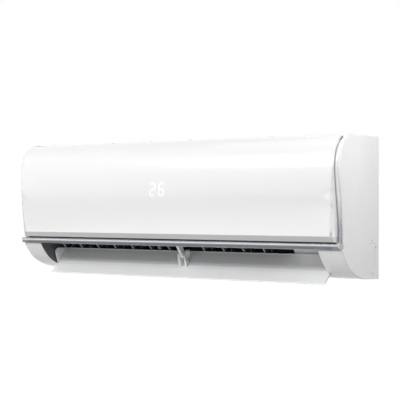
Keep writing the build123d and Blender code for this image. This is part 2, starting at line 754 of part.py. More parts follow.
with BuildPart() as tube_sheets:
    for x in (COIL_LEFT - SHEET, COIL_RIGHT):
        with BuildSketch(side(x)):
            for start, heading, length in SLABS:
                with BuildLine():
                    Polyline(*slab_outline(start, heading, length, COIL_THICK), close=True)
                make_face()
            for link in SHEET_LINKS:
                with BuildLine():
                    Polyline(*link, close=True)
                make_face()
        extrude(amount=SHEET)
write(tube_sheets, "tube_sheets")

# Return bends: slab, place of the bend's middle along it, and which end of the coil.
LEFT_BENDS = [(0, 22.5), (1, 21.5), (1, 58.5), (2, 22.5), (2, 64.5)]
RIGHT_BENDS = [(0, 43.5), (1, 42.5), (2, 43.5)]

with BuildPart() as return_bends:
    for hand, bends in ((-1, LEFT_BENDS), (1, RIGHT_BENDS)):
        sheet_face = COIL_LEFT - SHEET if hand < 0 else COIL_RIGHT + SHEET
        for slab, middle in bends:
            (y, z), (dy, dz), _ = SLABS[slab]
            bend_plane = Plane(
                origin=(sheet_face, y + dy * middle, z + dz * middle),
                x_dir=(0, dy, dz),
                z_dir=(0, hand * dz, -hand * dy),
            )
            with Locations(bend_plane):
                Torus(BEND_R, TUBE_R, major_angle=180, align=None)
write(return_bends, "return_bends")

# ---------------------------------------------------------------- refrigerant pipes
GAS_R, LIQUID_R = 4.76, 3.18
GAS_LINE, LIQUID_LINE = (-26.0, -112.0), (-18.0, -90.0)  # along the channel
GAS_END, LIQUID_END = -60.0, -20.0
GAS_X, LIQUID_X = 270.0, 284.0
GAS_PATH = [
    (COIL_RIGHT + SHEET, -76.7, 83.8),
    (GAS_X, -76.7, 83.8),
    (GAS_X, GAS_LINE[0], 30),
    (GAS_X, *GAS_LINE),
    (GAS_END, *GAS_LINE),
]
LIQUID_PATH = [
    (COIL_RIGHT + SHEET, -43.9, 29.9),
    (LIQUID_X, -43.9, 29.9),
    (LIQUID_X, LIQUID_LINE[0], 0),
    (LIQUID_X, *LIQUID_LINE),
    (LIQUID_END, *LIQUID_LINE),
]


def pipe(path, radius):
    """Bent pipe along straight runs and round corners."""
    with BuildPart() as bent:
        with BuildLine() as route:
            FilletPolyline(*path, radius=12)
        with BuildSketch(Plane(origin=path[0], z_dir=(1, 0, 0))):
            Circle(radius)
        sweep(path=route.line)
    return bent


def union(path, radius, thread_r, hexagon_r):
    """Brass flare union brazed on the end of a pipe, its cone facing -X."""
    end = Plane(origin=path[-1], z_dir=(-1, 0, 0))
    with BuildPart() as fitting:
        with BuildSketch(end.offset(-8)):
            RegularPolygon(hexagon_r, 6)
            Circle(radius, mode=Mode.SUBTRACT)
        extrude(amount=8)
        with BuildSketch(end):
            Circle(thread_r)
        extrude(amount=14)
        chamfer(faces().sort_by(Axis.X)[0].edges(), 2)
        with BuildSketch(end):
            Circle(radius - 0.8)
        extrude(amount=14, mode=Mode.SUBTRACT)
    return fitting


write(pipe(GAS_PATH, GAS_R), "gas_pipe")
write(pipe(LIQUID_PATH, LIQUID_R), "liquid_pipe")
write(union(GAS_PATH, GAS_R, 7.9, 9.5), "gas_union")
write(union(LIQUID_PATH, LIQUID_R, 5.5, 7.5), "liquid_union")

with BuildPart() as pipe_clamp:
    with BuildSketch(side(30)):
        with BuildLine():
            Polyline(
                (-34, -120),
                (-18, -120),
                (-12, -112),
                (-12, -80),
                (-14, CHANNEL_TOP),
                (-28, CHANNEL_TOP),
                (-30, -80),
                (-34, -86),
                close=True,
            )
        make_face()
        with Locations(GAS_LINE):
            Circle(GAS_R, mode=Mode.SUBTRACT)
        with Locations(LIQUID_LINE):
            Circle(LIQUID_R, mode=Mode.SUBTRACT)
    extrude(amount=16)
write(pipe_clamp, "pipe_clamp")

# ---------------------------------------------------------------- fan and motor
BLADE_INNER, BLADE_OUTER = 33.5, 43.6
DISC_THICK, DISC_BORE = 2.0, 32.0
SHAFT_R, STUB_R, SHAFT_REACH = 4.0, 3.0, 30.0
MOTOR_LEFT, MOTOR_RIGHT, MOTOR_R = 262.0, 318.0, 43.0

with BuildPart() as cross_flow_fan:
    with BuildSketch(side(FAN_LEFT)):
        for i in range(FAN_BLADES):
            a = 360 / FAN_BLADES * i
            with BuildLine():
                ThreePointArc(
                    around(FAN_AXIS, BLADE_INNER, a),
                    around(FAN_AXIS, 39.0, a + 2.2),
                    around(FAN_AXIS, BLADE_OUTER, a + 9),
                )
                Line(around(FAN_AXIS, BLADE_OUTER, a + 9), around(FAN_AXIS, BLADE_OUTER, a + 10.6))
                ThreePointArc(
                    around(FAN_AXIS, BLADE_OUTER, a + 10.6),
                    around(FAN_AXIS, 38.4, a + 4.4),
                    around(FAN_AXIS, BLADE_INNER, a + 1.8),
                )
                Line(around(FAN_AXIS, BLADE_INNER, a + 1.8), around(FAN_AXIS, BLADE_INNER, a))
            make_face()
    extrude(amount=FAN_RIGHT - FAN_LEFT)
    for i in range(FAN_DISCS):
        x = FAN_LEFT + (FAN_RIGHT - FAN_LEFT - DISC_THICK) * i / (FAN_DISCS - 1)
        with BuildSketch(side(x)):
            with Locations(FAN_AXIS):
                Circle(FAN_RADIUS)
                if 0 < i < FAN_DISCS - 1:
                    Circle(DISC_BORE, mode=Mode.SUBTRACT)
        extrude(amount=DISC_THICK)
write(cross_flow_fan, "cross_flow_fan")

with BuildPart() as fan_shafts:
    left_reach = DUCT_LEFT - BULKHEAD - 2 - FAN_LEFT
    for x, length, radius in ((FAN_LEFT, left_reach, STUB_R), (FAN_RIGHT, SHAFT_REACH, SHAFT_R)):
        with BuildSketch(side(x)):
            with Locations(FAN_AXIS):
                Circle(radius)
        extrude(amount=length)
write(fan_shafts, "fan_shafts")

with BuildPart() as fan_bearing:
    with BuildSketch(side(DUCT_LEFT - BULKHEAD - 4)):
        with Locations(FAN_AXIS):
            Circle(SHAFT_HOLE_R)
            Circle(STUB_R + PIN_FIT, mode=Mode.SUBTRACT)
    extrude(amount=BULKHEAD + 4)
write(fan_bearing, "fan_bearing")

with BuildPart() as fan_motor:
    with BuildSketch(side(MOTOR_LEFT)):
        with Locations(FAN_AXIS):
            Circle(MOTOR_R)
    extrude(amount=MOTOR_RIGHT - MOTOR_LEFT)
    fillet(edges().filter_by(GeomType.CIRCLE), 5)
    with BuildSketch(side(MOTOR_LEFT)):
        with Locations(FAN_AXIS):
            Circle(SHAFT_R + PIN_FIT)
    extrude(amount=FAN_RIGHT + SHAFT_REACH + 1 - MOTOR_LEFT, mode=Mode.SUBTRACT)
write(fan_motor, "fan_motor")

with BuildPart() as motor_rings:
    for x in CRADLES:
        with BuildSketch(side(x)):
            with Locations(FAN_AXIS):
                Circle(CRADLE_R)
                Circle(MOTOR_R, mode=Mode.SUBTRACT)
        extrude(amount=CRADLE_THICK)
write(motor_rings, "motor_rings")

with BuildPart() as motor_cover:
    with BuildSketch(side(CRADLES[0])):
        with Locations(FAN_AXIS):
            Circle(CRADLE_R + WALL)
            Circle(CRADLE_R, mode=Mode.SUBTRACT)
        with Locations((FAN_AXIS[0], FAN_AXIS[1] + 30)):
            Rectangle(120, 60, mode=Mode.INTERSECT)
    extrude(amount=CRADLES[1] + CRADLE_THICK - CRADLES[0])
write(motor_cover, "motor_cover")

# ---------------------------------------------------------------- swing flap and its drive
FLAP_TIP = (-46.0, 20.0)  # closed, from the flap axis
FLAP_REAR = (6.0, -25.0)
FLAP_SKIN = 2.2
FLAP_LIP_R = 1.7
FLAP_BORE_R = 3.05
LUG_OUTER = 347.0
MID_LUGS = (-4.5, 10.5)
MID_ARM = 2.0
EDGE_INWARD = (0.654, 0.756)  # from the closed flap's outer chord towards the axis


def flap_side(x):
    """Plane across the flap in its rest pose, with the closed flap's axes."""
    angle = radians(FLAP_REST)
    return Plane(origin=(x, *FLAP_AXIS), x_dir=(0, cos(angle), sin(angle)), z_dir=(1, 0, 0))


def inward(point, amount):
    """The point moved off the flap's outer chord, towards the axis."""
    return (point[0] + EDGE_INWARD[0] * amount, point[1] + EDGE_INWARD[1] * amount)


def along_chord(share):
    """Point on the closed flap's outer chord, from its tip to its rear edge."""
    return tuple(a + share * (b - a) for a, b in zip(FLAP_TIP, FLAP_REAR))


chord_middle = along_chord(0.5)
fold = along_chord(0.45)

with BuildPart() as swing_flap:
    # Bent blade with rounded lips.
    with BuildSketch(flap_side(-FLAP_HALF)):
        with BuildLine():
            ThreePointArc(FLAP_TIP, inward(chord_middle, -6), FLAP_REAR)
            Polyline(FLAP_REAR, inward(FLAP_REAR, FLAP_SKIN), inward(fold, -2.4))
            Polyline(inward(fold, -2.4), inward(FLAP_TIP, FLAP_SKIN), FLAP_TIP)
        make_face()
        with Locations(inward(FLAP_TIP, FLAP_SKIN / 2), inward(FLAP_REAR, FLAP_SKIN / 2)):
            Circle(FLAP_LIP_R)
    extrude(amount=2 * FLAP_HALF)
    # Gusset lugs at both ends and beside the middle arm.
    for x in (-LUG_OUTER, *MID_LUGS, LUG_OUTER - 3):
        with BuildSketch(flap_side(x)):
            Circle(9)
            with Locations((-22, 0), (5.5, -20.5)):
                Circle(2)
            make_hull()
            if abs(x) < LUG_OUTER / 2:
                Circle(FLAP_BORE_R, mode=Mode.SUBTRACT)
        extrude(amount=3)
    # End pins.
    for x in (-PILLAR_INNER - WALL + 0.1, LUG_OUTER):
        with BuildSketch(flap_side(x)):
            Circle(FLAP_PIN_R)
        extrude(amount=PILLAR_INNER + WALL - 0.1 - LUG_OUTER)
write(swing_flap, "swing_flap")

with BuildPart() as flap_arm:
    with BuildSketch(side(MID_ARM)):
        with Locations(FLAP_AXIS):
            Circle(5.5)
        with BuildLine():
            Line((-157, -72.24), (-143, -61.13))
        make_hull()
    extrude(amount=5)
    with BuildSketch(side(MID_LUGS[0])):
        with Locations(FLAP_AXIS):
            Circle(3.0)
    extrude(amount=MID_LUGS[1] + 3 - MID_LUGS[0])
write(flap_arm, "flap_arm")

with BuildPart() as flap_motor:
    with BuildSketch(side(PILLAR_INNER + WALL)):
        with Locations(FLAP_AXIS):
            Circle(14)
    extrude(amount=19)
    # Ears with their screw holes.
    with BuildSketch(side(PILLAR_INNER + WALL)):
        with Locations(FLAP_AXIS):
            SlotOverall(42, 7, rotation=45)
            with PolarLocations(17.5, 2, start_angle=45):
                Circle(1.8, mode=Mode.SUBTRACT)
    extrude(amount=1)
write(flap_motor, "flap_motor")

# ---------------------------------------------------------------- air vanes and tie bars
VANE_FOOT = FLOOR_ACROSS + 0.6
CRANK_ALONG = -12.0
CRANK_R, CRANK_HOLE_R = 1.5, 1.6
BAR_ACROSS, BAR_THICK, BAR_WIDTH = 30.5, 3.0, 7.0
BAR_END = 6.0
KNOB_X = -51.0
# Outline along and across the flow: foot, clear of the flap's rear edge, front and stepped top.
VANE_OUTLINE = [
    (-44, VANE_FOOT),
    (-20, VANE_FOOT),
    (-25, -19),
    (-31, -8),
    (-27, 3),
    (-8, 8),
    (-6, 27),
    (-19, 27),
    (-19, 38.5),
    (-27.5, 38.5),
    (-29.5, 30),
    (-35, 12),
    (-44, -8),
]


def vane(x):
    """One air vane with its pin and its crank pin."""
    with BuildPart() as blade:
        with BuildSketch(side(x - VANE_THICK / 2)):
            with BuildLine():
                Polyline(*[flow(*point) for point in VANE_OUTLINE], close=True)
            make_face()
        extrude(amount=VANE_THICK)
        # Foot boss and pin in the outlet floor.
        with BuildSketch(across_flow(x, VANE_PIN_ALONG, VANE_FOOT)):
            Circle(4)
        extrude(amount=5)
        with BuildSketch(across_flow(x, VANE_PIN_ALONG, VANE_FOOT)):
            Circle(VANE_PIN_R)
        extrude(amount=-3)
        # Crank pin for the tie bar.
        with BuildSketch(across_flow(x, CRANK_ALONG, 22)):
            Circle(CRANK_R)
        extrude(amount=14)
    return blade


def tie_bar(vanes):
    """Flat bar with a hole for each crank pin."""
    left = vanes[0] - BAR_END
    right = vanes[-1] + BAR_END
    with BuildPart() as bar:
        with BuildSketch(across_flow((left + right) / 2, CRANK_ALONG, BAR_ACROSS)):
            Rectangle(right - left, BAR_WIDTH)
        extrude(amount=BAR_THICK)
        for x in vanes:
            with BuildSketch(across_flow(x, CRANK_ALONG, BAR_ACROSS)):
                Circle(CRANK_HOLE_R)
            extrude(amount=BAR_THICK, mode=Mode.SUBTRACT)
    return bar


for group, places in (("left", VANES_LEFT), ("right", VANES_RIGHT)):
    for number, x in enumerate(places, start=1):
        write(vane(x), f"vane_{group}_{number}")

left_bar = tie_bar(VANES_LEFT)
with BuildPart() as knobbed_bar:
    add(left_bar.part)
    # Knob for turning the vanes by hand, in front of them.
    with BuildSketch(side(KNOB_X - 3.5)):
        with BuildLine():
            Polyline(flow(-9, 33.5), flow(-4, 33.5), flow(-3.2, 14), flow(-6.5, 14), flow(-9, 28), close=True)
        make_face()
    extrude(amount=7)
write(knobbed_bar, "tie_bar_left")
write(tie_bar(VANES_RIGHT), "tie_bar_right")

# ---------------------------------------------------------------- air filters
MESH_HALF, RIM_HALF = 0.4, 1.2
RIM_WIDTH = 8.0
FILTER_RIBS = 4


def filter_band(half, start, end):
    """Section of the filter, a strip between two radii."""
    with BuildSketch() as band:
        with BuildLine():
            inner = CenterArc(FILTER_CENTRE, FILTER_RADIUS - half, start, end - start)
            outer = CenterArc(FILTER_CENTRE, FILTER_RADIUS + half, start, end - start)
            Line(inner @ 0, outer @ 0)
            Line(inner @ 1, outer @ 1)
        make_face()
    return band.sketch


def air_filter(left, right):
    """Curved filter: a thin mesh in a thicker rim with cross ribs."""
    width = right - left
    rim_angle = RIM_WIDTH / FILTER_RADIUS * 57.3
    span = FILTER_END - FILTER_START
    with BuildPart() as screen:
        with BuildSketch(side(left)):
            add(filter_band(MESH_HALF, FILTER_START, FILTER_END))
        extrude(amount=width)
        for x in [left + (width - RIM_WIDTH) * i / FILTER_RIBS for i in range(FILTER_RIBS + 1)]:
            with BuildSketch(side(x)):
                add(filter_band(RIM_HALF, FILTER_START, FILTER_END))
            extrude(amount=RIM_WIDTH if x in (left, left + width - RIM_WIDTH) else 3)
        for angle in (FILTER_START, FILTER_START + span / 2, FILTER_END - rim_angle):
            with BuildSketch(side(left)):
                add(filter_band(RIM_HALF, angle, angle + rim_angle))
            extrude(amount=width)
    return screen


for group, (left, right) in zip(("left", "right"), WINDOWS):
    write(air_filter(left + 0.5, right - 0.5), f"air_filter_{group}")

# ---------------------------------------------------------------- electrics
BOX_LEFT, BOX_RIGHT = 332.0, 386.0
BOX_FRONT, BOX_REAR = -168.0, BACK_FRONT  # it stands against the chassis wall
BOX_LOW, BOX_HIGH = -50.0, 110.0
BOX_WALL = 2.0

with BuildPart() as control_box:
    with BuildSketch(Plane.XY.offset(BOX_LOW)):
        with Locations(((BOX_LEFT + BOX_RIGHT) / 2, (BOX_FRONT + BOX_REAR) / 2)):
            Rectangle(BOX_RIGHT - BOX_LEFT, BOX_REAR - BOX_FRONT)
    extrude(amount=BOX_HIGH - BOX_LOW)
    offset(amount=-BOX_WALL, openings=faces().sort_by(Axis.Y)[0])
write(control_box, "control_box")

with BuildPart() as control_box_lid:
    with BuildSketch(Plane.XZ.offset(-BOX_FRONT)):
        with Locations(((BOX_LEFT + BOX_RIGHT) / 2, (BOX_LOW + BOX_HIGH) / 2)):
            Rectangle(BOX_RIGHT - BOX_LEFT, BOX_HIGH - BOX_LOW)
    extrude(amount=BOX_WALL)
write(control_box_lid, "control_box_lid")

BOARD_THICK = 1.6
# Place on the board (Y, Z), depth, height and how far each part stands off.
BOARD_PARTS = [
    (-130.0, 70.0, 26.0, 20.0, 25.0),
    (-90.0, 72.0, 20.0, 16.0, 16.0),
    (-60.0, 72.0, 20.0, 16.0, 16.0),
    (-110.0, 20.0, 38.0, 32.0, 28.0),
]
with BuildPart() as control_board:
    with BuildSketch(side(BOX_RIGHT - BOX_WALL - BOARD_THICK)):
        with Locations((-88, 40)):
            Rectangle(130, 110)
    extrude(amount=BOARD_THICK)
    # Capacitor, relays and transformer.
    for y, z, depth, height, tall in BOARD_PARTS:
        with BuildSketch(side(BOX_RIGHT - BOX_WALL - BOARD_THICK)):
            with Locations((y, z)):
                Rectangle(depth, height)
        extrude(amount=-tall)
write(control_board, "control_board")

with BuildPart() as terminal_block:
    with BuildSketch(Plane.XY.offset(BOX_LOW + BOX_WALL)):
        with Locations((358, -150)):
            Rectangle(46, 18)
    extrude(amount=12)
    with BuildSketch(Plane.XY.offset(BOX_LOW + BOX_WALL + 12)):
        with Locations((358, -150)):
            with GridLocations(11, 1, 4, 1):
                Rectangle(9, 12)
    extrude(amount=-5, mode=Mode.SUBTRACT)
write(terminal_block, "terminal_block")

with BuildPart() as display_lens:
    with BuildSketch(Plane.XZ.offset(-LENS_REAR)):
        with Locations(LENS_CENTRE):
            Rectangle(LENS_X[1] - LENS_X[0] - 0.4, LENS_Z[1] - LENS_Z[0] - 0.4)
    extrude(amount=LENS_REAR - LENS_FRONT)
write(display_lens, "display_lens")

with BuildPart() as display_board:
    with BuildSketch(Plane.XZ.offset(-LENS_REAR - BOARD_THICK)):
        with Locations(LENS_CENTRE):
            Rectangle(52, 42)
    extrude(amount=BOARD_THICK)
write(display_board, "display_board")

BUTTON_FRONT = -193.5
BUTTON_COLLAR = 1.5
with BuildPart() as manual_button:
    with BuildSketch(Plane.XZ.offset(-BUTTON_REAR)):
        with Locations((BUTTON_X, BUTTON_Z)):
            Circle(BUTTON_R)
    extrude(amount=BUTTON_REAR - BUTTON_FRONT)
    fillet(edges().sort_by(Axis.Y)[0], 0.8)
    # Collar behind the frame's boss.
    with BuildSketch(Plane.XZ.offset(-BUTTON_REAR - BUTTON_COLLAR)):
        with Locations((BUTTON_X, BUTTON_Z)):
            Circle(BUTTON_R + 1.5)
    extrude(amount=BUTTON_COLLAR)
write(manual_button, "manual_button")
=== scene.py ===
import logging
import math
from dataclasses import dataclass, field
from enum import Enum
from typing import Callable, Iterable, Sequence

import bmesh
import bpy
from mathutils import Matrix, Vector


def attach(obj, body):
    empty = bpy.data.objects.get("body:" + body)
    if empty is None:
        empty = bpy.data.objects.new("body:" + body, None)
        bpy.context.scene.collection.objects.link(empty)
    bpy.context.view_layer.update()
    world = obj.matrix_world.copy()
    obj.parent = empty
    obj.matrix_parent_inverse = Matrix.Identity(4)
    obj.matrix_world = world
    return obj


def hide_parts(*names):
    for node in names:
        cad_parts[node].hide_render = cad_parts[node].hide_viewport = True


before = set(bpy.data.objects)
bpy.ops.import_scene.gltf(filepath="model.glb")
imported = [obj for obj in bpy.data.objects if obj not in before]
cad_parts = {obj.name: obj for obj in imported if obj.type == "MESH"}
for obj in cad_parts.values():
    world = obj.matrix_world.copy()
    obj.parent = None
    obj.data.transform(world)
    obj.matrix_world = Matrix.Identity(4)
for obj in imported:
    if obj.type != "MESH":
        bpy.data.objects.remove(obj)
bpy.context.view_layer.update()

log = logging.getLogger("indoor_unit")
MM = 0.001
CLOUD = (0.3, 0.7)  # levels of noise between which a cloud fades
FACING = 0.9  # share of a normal along an axis, above which its face looks that way
BLACK, WHITE = (0.0, 0.0, 0.0), (1.0, 1.0, 1.0)
Pair = tuple[float, float]
Point = tuple[float, float, float]
Ramp = tuple[float, float, float, float]  # two values, and the results at them
Object = bpy.types.Object
Material = bpy.types.Material


def shade(colour: Point, factor: float) -> Point:
    """Colour made lighter or darker by a factor."""
    return tuple(part * factor for part in colour)


# ---- shader graph
def joining(operation: str, reflected: bool = False) -> Callable[..., "Signal"]:
    """Make a method that joins a signal and another value with one Math node.

    Args:
        operation: The node's operation.
        reflected: Whether the other value stands on the left.

    Returns:
        The method.
    """

    def method(self: "Signal", other: "Signal | float" = 0.0) -> "Signal":
        """Result of the node."""
        first, second = (other, self) if reflected else (self, other)
        return self.graph.node("ShaderNodeMath", {"operation": operation}, {0: first, 1: second})

    return method


class Signal:
    """A socket that takes part in shader maths."""

    __add__, __radd__ = joining("ADD"), joining("ADD", True)
    __sub__, __rsub__ = joining("SUBTRACT"), joining("SUBTRACT", True)
    __mul__, __rmul__ = joining("MULTIPLY"), joining("MULTIPLY", True)
    __truediv__, __rtruediv__ = joining("DIVIDE"), joining("DIVIDE", True)
    __abs__, wrapped = joining("ABSOLUTE"), joining("FRACT")
    larger, smaller = joining("MAXIMUM"), joining("MINIMUM")

    def __init__(self, graph: "Graph", socket: bpy.types.NodeSocket) -> None:
        """Keep the socket and the graph that it belongs to."""
        self.graph = graph
        self.socket = socket

    def ranged(self, low: float, high: float, to_low: float = 0.0, to_high: float = 1.0) -> "Signal":
        """Map low to high smoothly onto to_low to to_high, and hold the ends."""
        return self.graph.node(
            "ShaderNodeMapRange",
            {"interpolation_type": "SMOOTHSTEP"},
            {"Value": self, "From Min": low, "From Max": high, "To Min": to_low, "To Max": to_high},
        )


class Graph:
    """Node graph of a material or of the world."""

    def __init__(self, owner: Material | bpy.types.World) -> None:
        """Start with no nodes.

        Args:
            owner: The material or world.
        """
        owner.use_nodes = True
        self.owner = owner
        self.tree = owner.node_tree
        self.tree.nodes.clear()

    def feed(self, socket: bpy.types.NodeSocket, value: Signal | float | Sequence[float]) -> None:
        """Link a signal to an input, or set the input.

        Args:
            socket: The input.
            value: What it gets: a signal, a number, three lengths or a colour.
        """
        if isinstance(value, Signal):
            self.tree.links.new(value.socket, socket)
        else:
            socket.default_value = (*value, 1.0) if socket.type == "RGBA" else value

    def node(self, kind: str, settings: dict, sockets: dict, output: int | str = 0) -> Signal:
        """Add any node.

        Args:
            kind: Node type.
            settings: Properties, set before the sockets.
            sockets: Values or signals for the inputs, by name or number.
            output: Which output to give back.

        Returns:
            The chosen output.
        """
        made = self.tree.nodes.new(kind)
        for key, value in settings.items():
            setattr(made, key, value)
        for key, value in sockets.items():
            self.feed(made.inputs[key], value)
        return Signal(self, made.outputs[output])

    def rays(self) -> tuple[Signal, ...]:
        """Whether a ray comes from the camera, from a mirror or through something clear."""
        outputs = self.node("ShaderNodeLightPath", {}, {}).socket.node.outputs
        return tuple(Signal(self, outputs[f"Is {kind} Ray"]) for kind in ("Camera", "Glossy", "Transmission"))


class Surface(Graph):
    """Node graph of one material, round a Principled shader."""

    def __init__(self, name: str) -> None:
        """Start a material.

        Args:
            name: The material's name.
        """
        super().__init__(bpy.data.materials.new(name))
        self.shader = self.tree.nodes.new("ShaderNodeBsdfPrincipled")
        self.output = self.tree.nodes.new("ShaderNodeOutputMaterial")
        self.tree.links.new(self.shader.outputs[0], self.output.inputs["Surface"])
        self.place = self.node("ShaderNodeTexCoord", {}, {}, "Object")

    def axes(self) -> tuple[Signal, ...]:
        """X, Y and Z of the place, each as a signal in metres."""
        outputs = self.node("ShaderNodeSeparateXYZ", {}, {0: self.place}).socket.node.outputs
        return tuple(Signal(self, outputs[axis]) for axis in "XYZ")

    def stretched(self, scale: Point) -> Signal:
        """The place scaled along each axis, for a pattern that runs one way."""
        return self.node("ShaderNodeMapping", {}, {"Vector": self.place, "Scale": scale})

    def noise(self, size: float, detail: float = 3.0, where: Signal | None = None) -> Signal:
        """Noise from 0 to 1 about one half, by a blotch's size in metres and its octaves."""
        sockets = {"Vector": where or self.place, "Scale": 1.0 / size, "Detail": detail}
        return self.node("ShaderNodeTexNoise", {}, sockets, "Fac")

    def cells(self, scale: float) -> Signal:
        """A tone for each cell of a pattern.

        Args:
            scale: Cells in a metre.

        Returns:
            The tone, from 0 to 1.
        """
        sockets = {"Vector": self.place, "Scale": scale}
        tile = self.node("ShaderNodeTexVoronoi", {"feature": "F1"}, sockets, "Color")
        return self.node("ShaderNodeSeparateColor", {}, {0: tile})

    def mixed(self, share: Signal, first: Point | Signal, second: Point | Signal) -> Signal:
        """Mix of two colours, with the share of the second."""
        return self.node("ShaderNodeMix", {"data_type": "RGBA"}, {0: share, 6: first, 7: second}, 2)

    def clouded(self, cloud: Signal, colour: Point, factor: float) -> Signal:
        """A colour with darker clouds, which are the colour times the factor."""
        return self.mixed(cloud.ranged(*CLOUD), shade(colour, factor), colour)

    def bump(self, height: Signal, strength: float, distance: float) -> Signal:
        """Normal of a small relief, with the distance in metres that a height of 1 stands for."""
        return self.node("ShaderNodeBump", {}, {"Height": height, "Strength": strength, "Distance": distance})

    def finished(self, **sockets: object) -> Material:
        """Set the shader's sockets.

        Args:
            **sockets: Values or signals, with underscores for the spaces in the sockets' names.

        Returns:
            The finished material.
        """
        for key, value in sockets.items():
            self.feed(self.shader.inputs[key.replace("_", " ")], value)
        return self.owner


# ---- finishes
@dataclass(frozen=True)
class Moulding:
    """Injection-moulded plastic with a fine grain and a little handling wear."""

    name: str
    colour: Point
    roughness: float = 0.42
    grain: float = 0.9 * MM
    variation: float = 0.02
    clear: float = 0.0
    alpha: float = 1.0
    cloud: float = 90.0 * MM
    wear: float = 0.03
    relief: float = 0.35
    depth: float = 0.03 * MM
    coat_roughness: float = 0.12

    def colouring(self, graph: Surface, cloud: Signal) -> Signal:
        """The colour over the piece, with faint clouds."""
        return graph.clouded(cloud, self.colour, 1.0 - 2.0 * self.variation)

    def material(self) -> Material:
        """Make the material.

        Returns:
            The finish as a material.
        """
        graph = Surface(self.name)
        cloud = graph.noise(self.cloud)
        return graph.finished(
            Base_Color=self.colouring(graph, cloud),
            Roughness=cloud.ranged(*CLOUD, self.roughness + self.wear, self.roughness - self.wear),
            Normal=graph.bump(graph.noise(self.grain, 2.0), self.relief, self.depth),
            Coat_Weight=self.clear,
            Coat_Roughness=self.coat_roughness,
            Alpha=self.alpha,
        )


@dataclass(frozen=True)
class EndCoverPlastic(Moulding):
    """White cover plastic, made dark where it reaches into the air duct: painted shade on the duct's side
    wall.
    """

    # painted shade: colour of the cover's face inside the air duct
    cheek_painted_shade: Point = (0.125, 0.128, 0.133)
    cheek_painted_shade_edge: Pair = (350.9 * MM, 350.7 * MM)

    def colouring(self, graph: Surface, cloud: Signal) -> Signal:
        """White, and dark where the cover reaches into the duct: painted shade."""
        x, _, _ = graph.axes()
        return graph.mixed(abs(x).ranged(*self.cheek_painted_shade_edge), super().colouring(graph, cloud), self.cheek_painted_shade)


@dataclass(frozen=True)
class FlapPearl(Moulding):
    """Pearl plastic of the flap, with painted shade in grey on the inner face above its crease."""

    name: str = "flap_pearl"
    colour: Point = (0.975, 0.98, 0.985)
    roughness: float = 0.30
    variation: float = 0.015
    clear: float = 0.6
    # painted shade: grey of the inner face above the crease
    inner: Point = (0.80, 0.805, 0.815)
    outwards: Pair = (-0.85, 0.53)
    level: Pair = (34.6 * MM, 37.2 * MM)
    crease: float = -124.5 * MM
    soft: float = 0.5 * MM

    def colouring(self, graph: Surface, cloud: Signal) -> Signal:
        """Pearl, and grey on the inner face above its crease: painted shade under the body.

        Args:
            graph: The material's graph.
            cloud: Soft noise.

        Returns:
            The colour.
        """
        _, y, z = graph.axes()
        height = y * self.outwards[0] + z * self.outwards[1]
        low, high = self.level
        skin = height.ranged(low - self.soft, low) * height.ranged(high + self.soft, high)
        # where the painted shade lies: the inner face, above the crease
        upper = skin * z.ranged(self.crease - 2 * self.soft, self.crease + 2 * self.soft)
        return graph.mixed(upper, super().colouring(graph, cloud), self.inner)


@dataclass(frozen=True)
class VaneBlade(Moulding):
    """Dark satin sides of a row of vanes, with a paler rim along each front edge as a painted highlight."""

    colour: Point = (0.085, 0.088, 0.094)
    roughness: float = 0.345
    variation: float = 0.075
    cloud: float = 30.0 * MM
    wear: float = 0.035
    first: float = -322.0 * MM
    pitch: float = 48.7 * MM
    edge: Pair = (0.94 * MM, 0.84 * MM)
    front: Pair = (-106.0 * MM, -110.0 * MM)
    # painted highlight: colour of the lit front edges
    rim: Point = (0.50, 0.51, 0.52)
    coat_roughness: float = 0.03

    def colouring(self, graph: Surface, cloud: Signal) -> Signal:
        """Dark, and paler on the narrow faces at the front: a painted highlight.

        Args:
            graph: The material's graph.
            cloud: Soft noise.

        Returns:
            The colour.
        """
        x, y, _ = graph.axes()
        turn = ((x - self.first) / self.pitch + 0.5).wrapped() - 0.5
        edge = (abs(turn) * self.pitch).ranged(*self.edge) * y.ranged(*self.front)
        return graph.mixed(edge, super().colouring(graph, cloud), self.rim)


class Segment(Enum):
    """Bars of a seven-segment figure, as (middle x, middle z, upright) in units of half a figure."""

    TOP = (0.0, 1.0, False)
    UPPER_RIGHT = (1.0, 0.5, True)
    LOWER_RIGHT = (1.0, -0.5, True)
    BOTTOM = (0.0, -1.0, False)
    LOWER_LEFT = (-1.0, -0.5, True)
    UPPER_LEFT = (-1.0, 0.5, True)
    MIDDLE = (0.0, 0.0, False)


FIGURES: dict[str, set[Segment]] = {
    "2": set(Segment) - {Segment.UPPER_LEFT, Segment.LOWER_RIGHT},
    "6": set(Segment) - {Segment.UPPER_RIGHT},
}


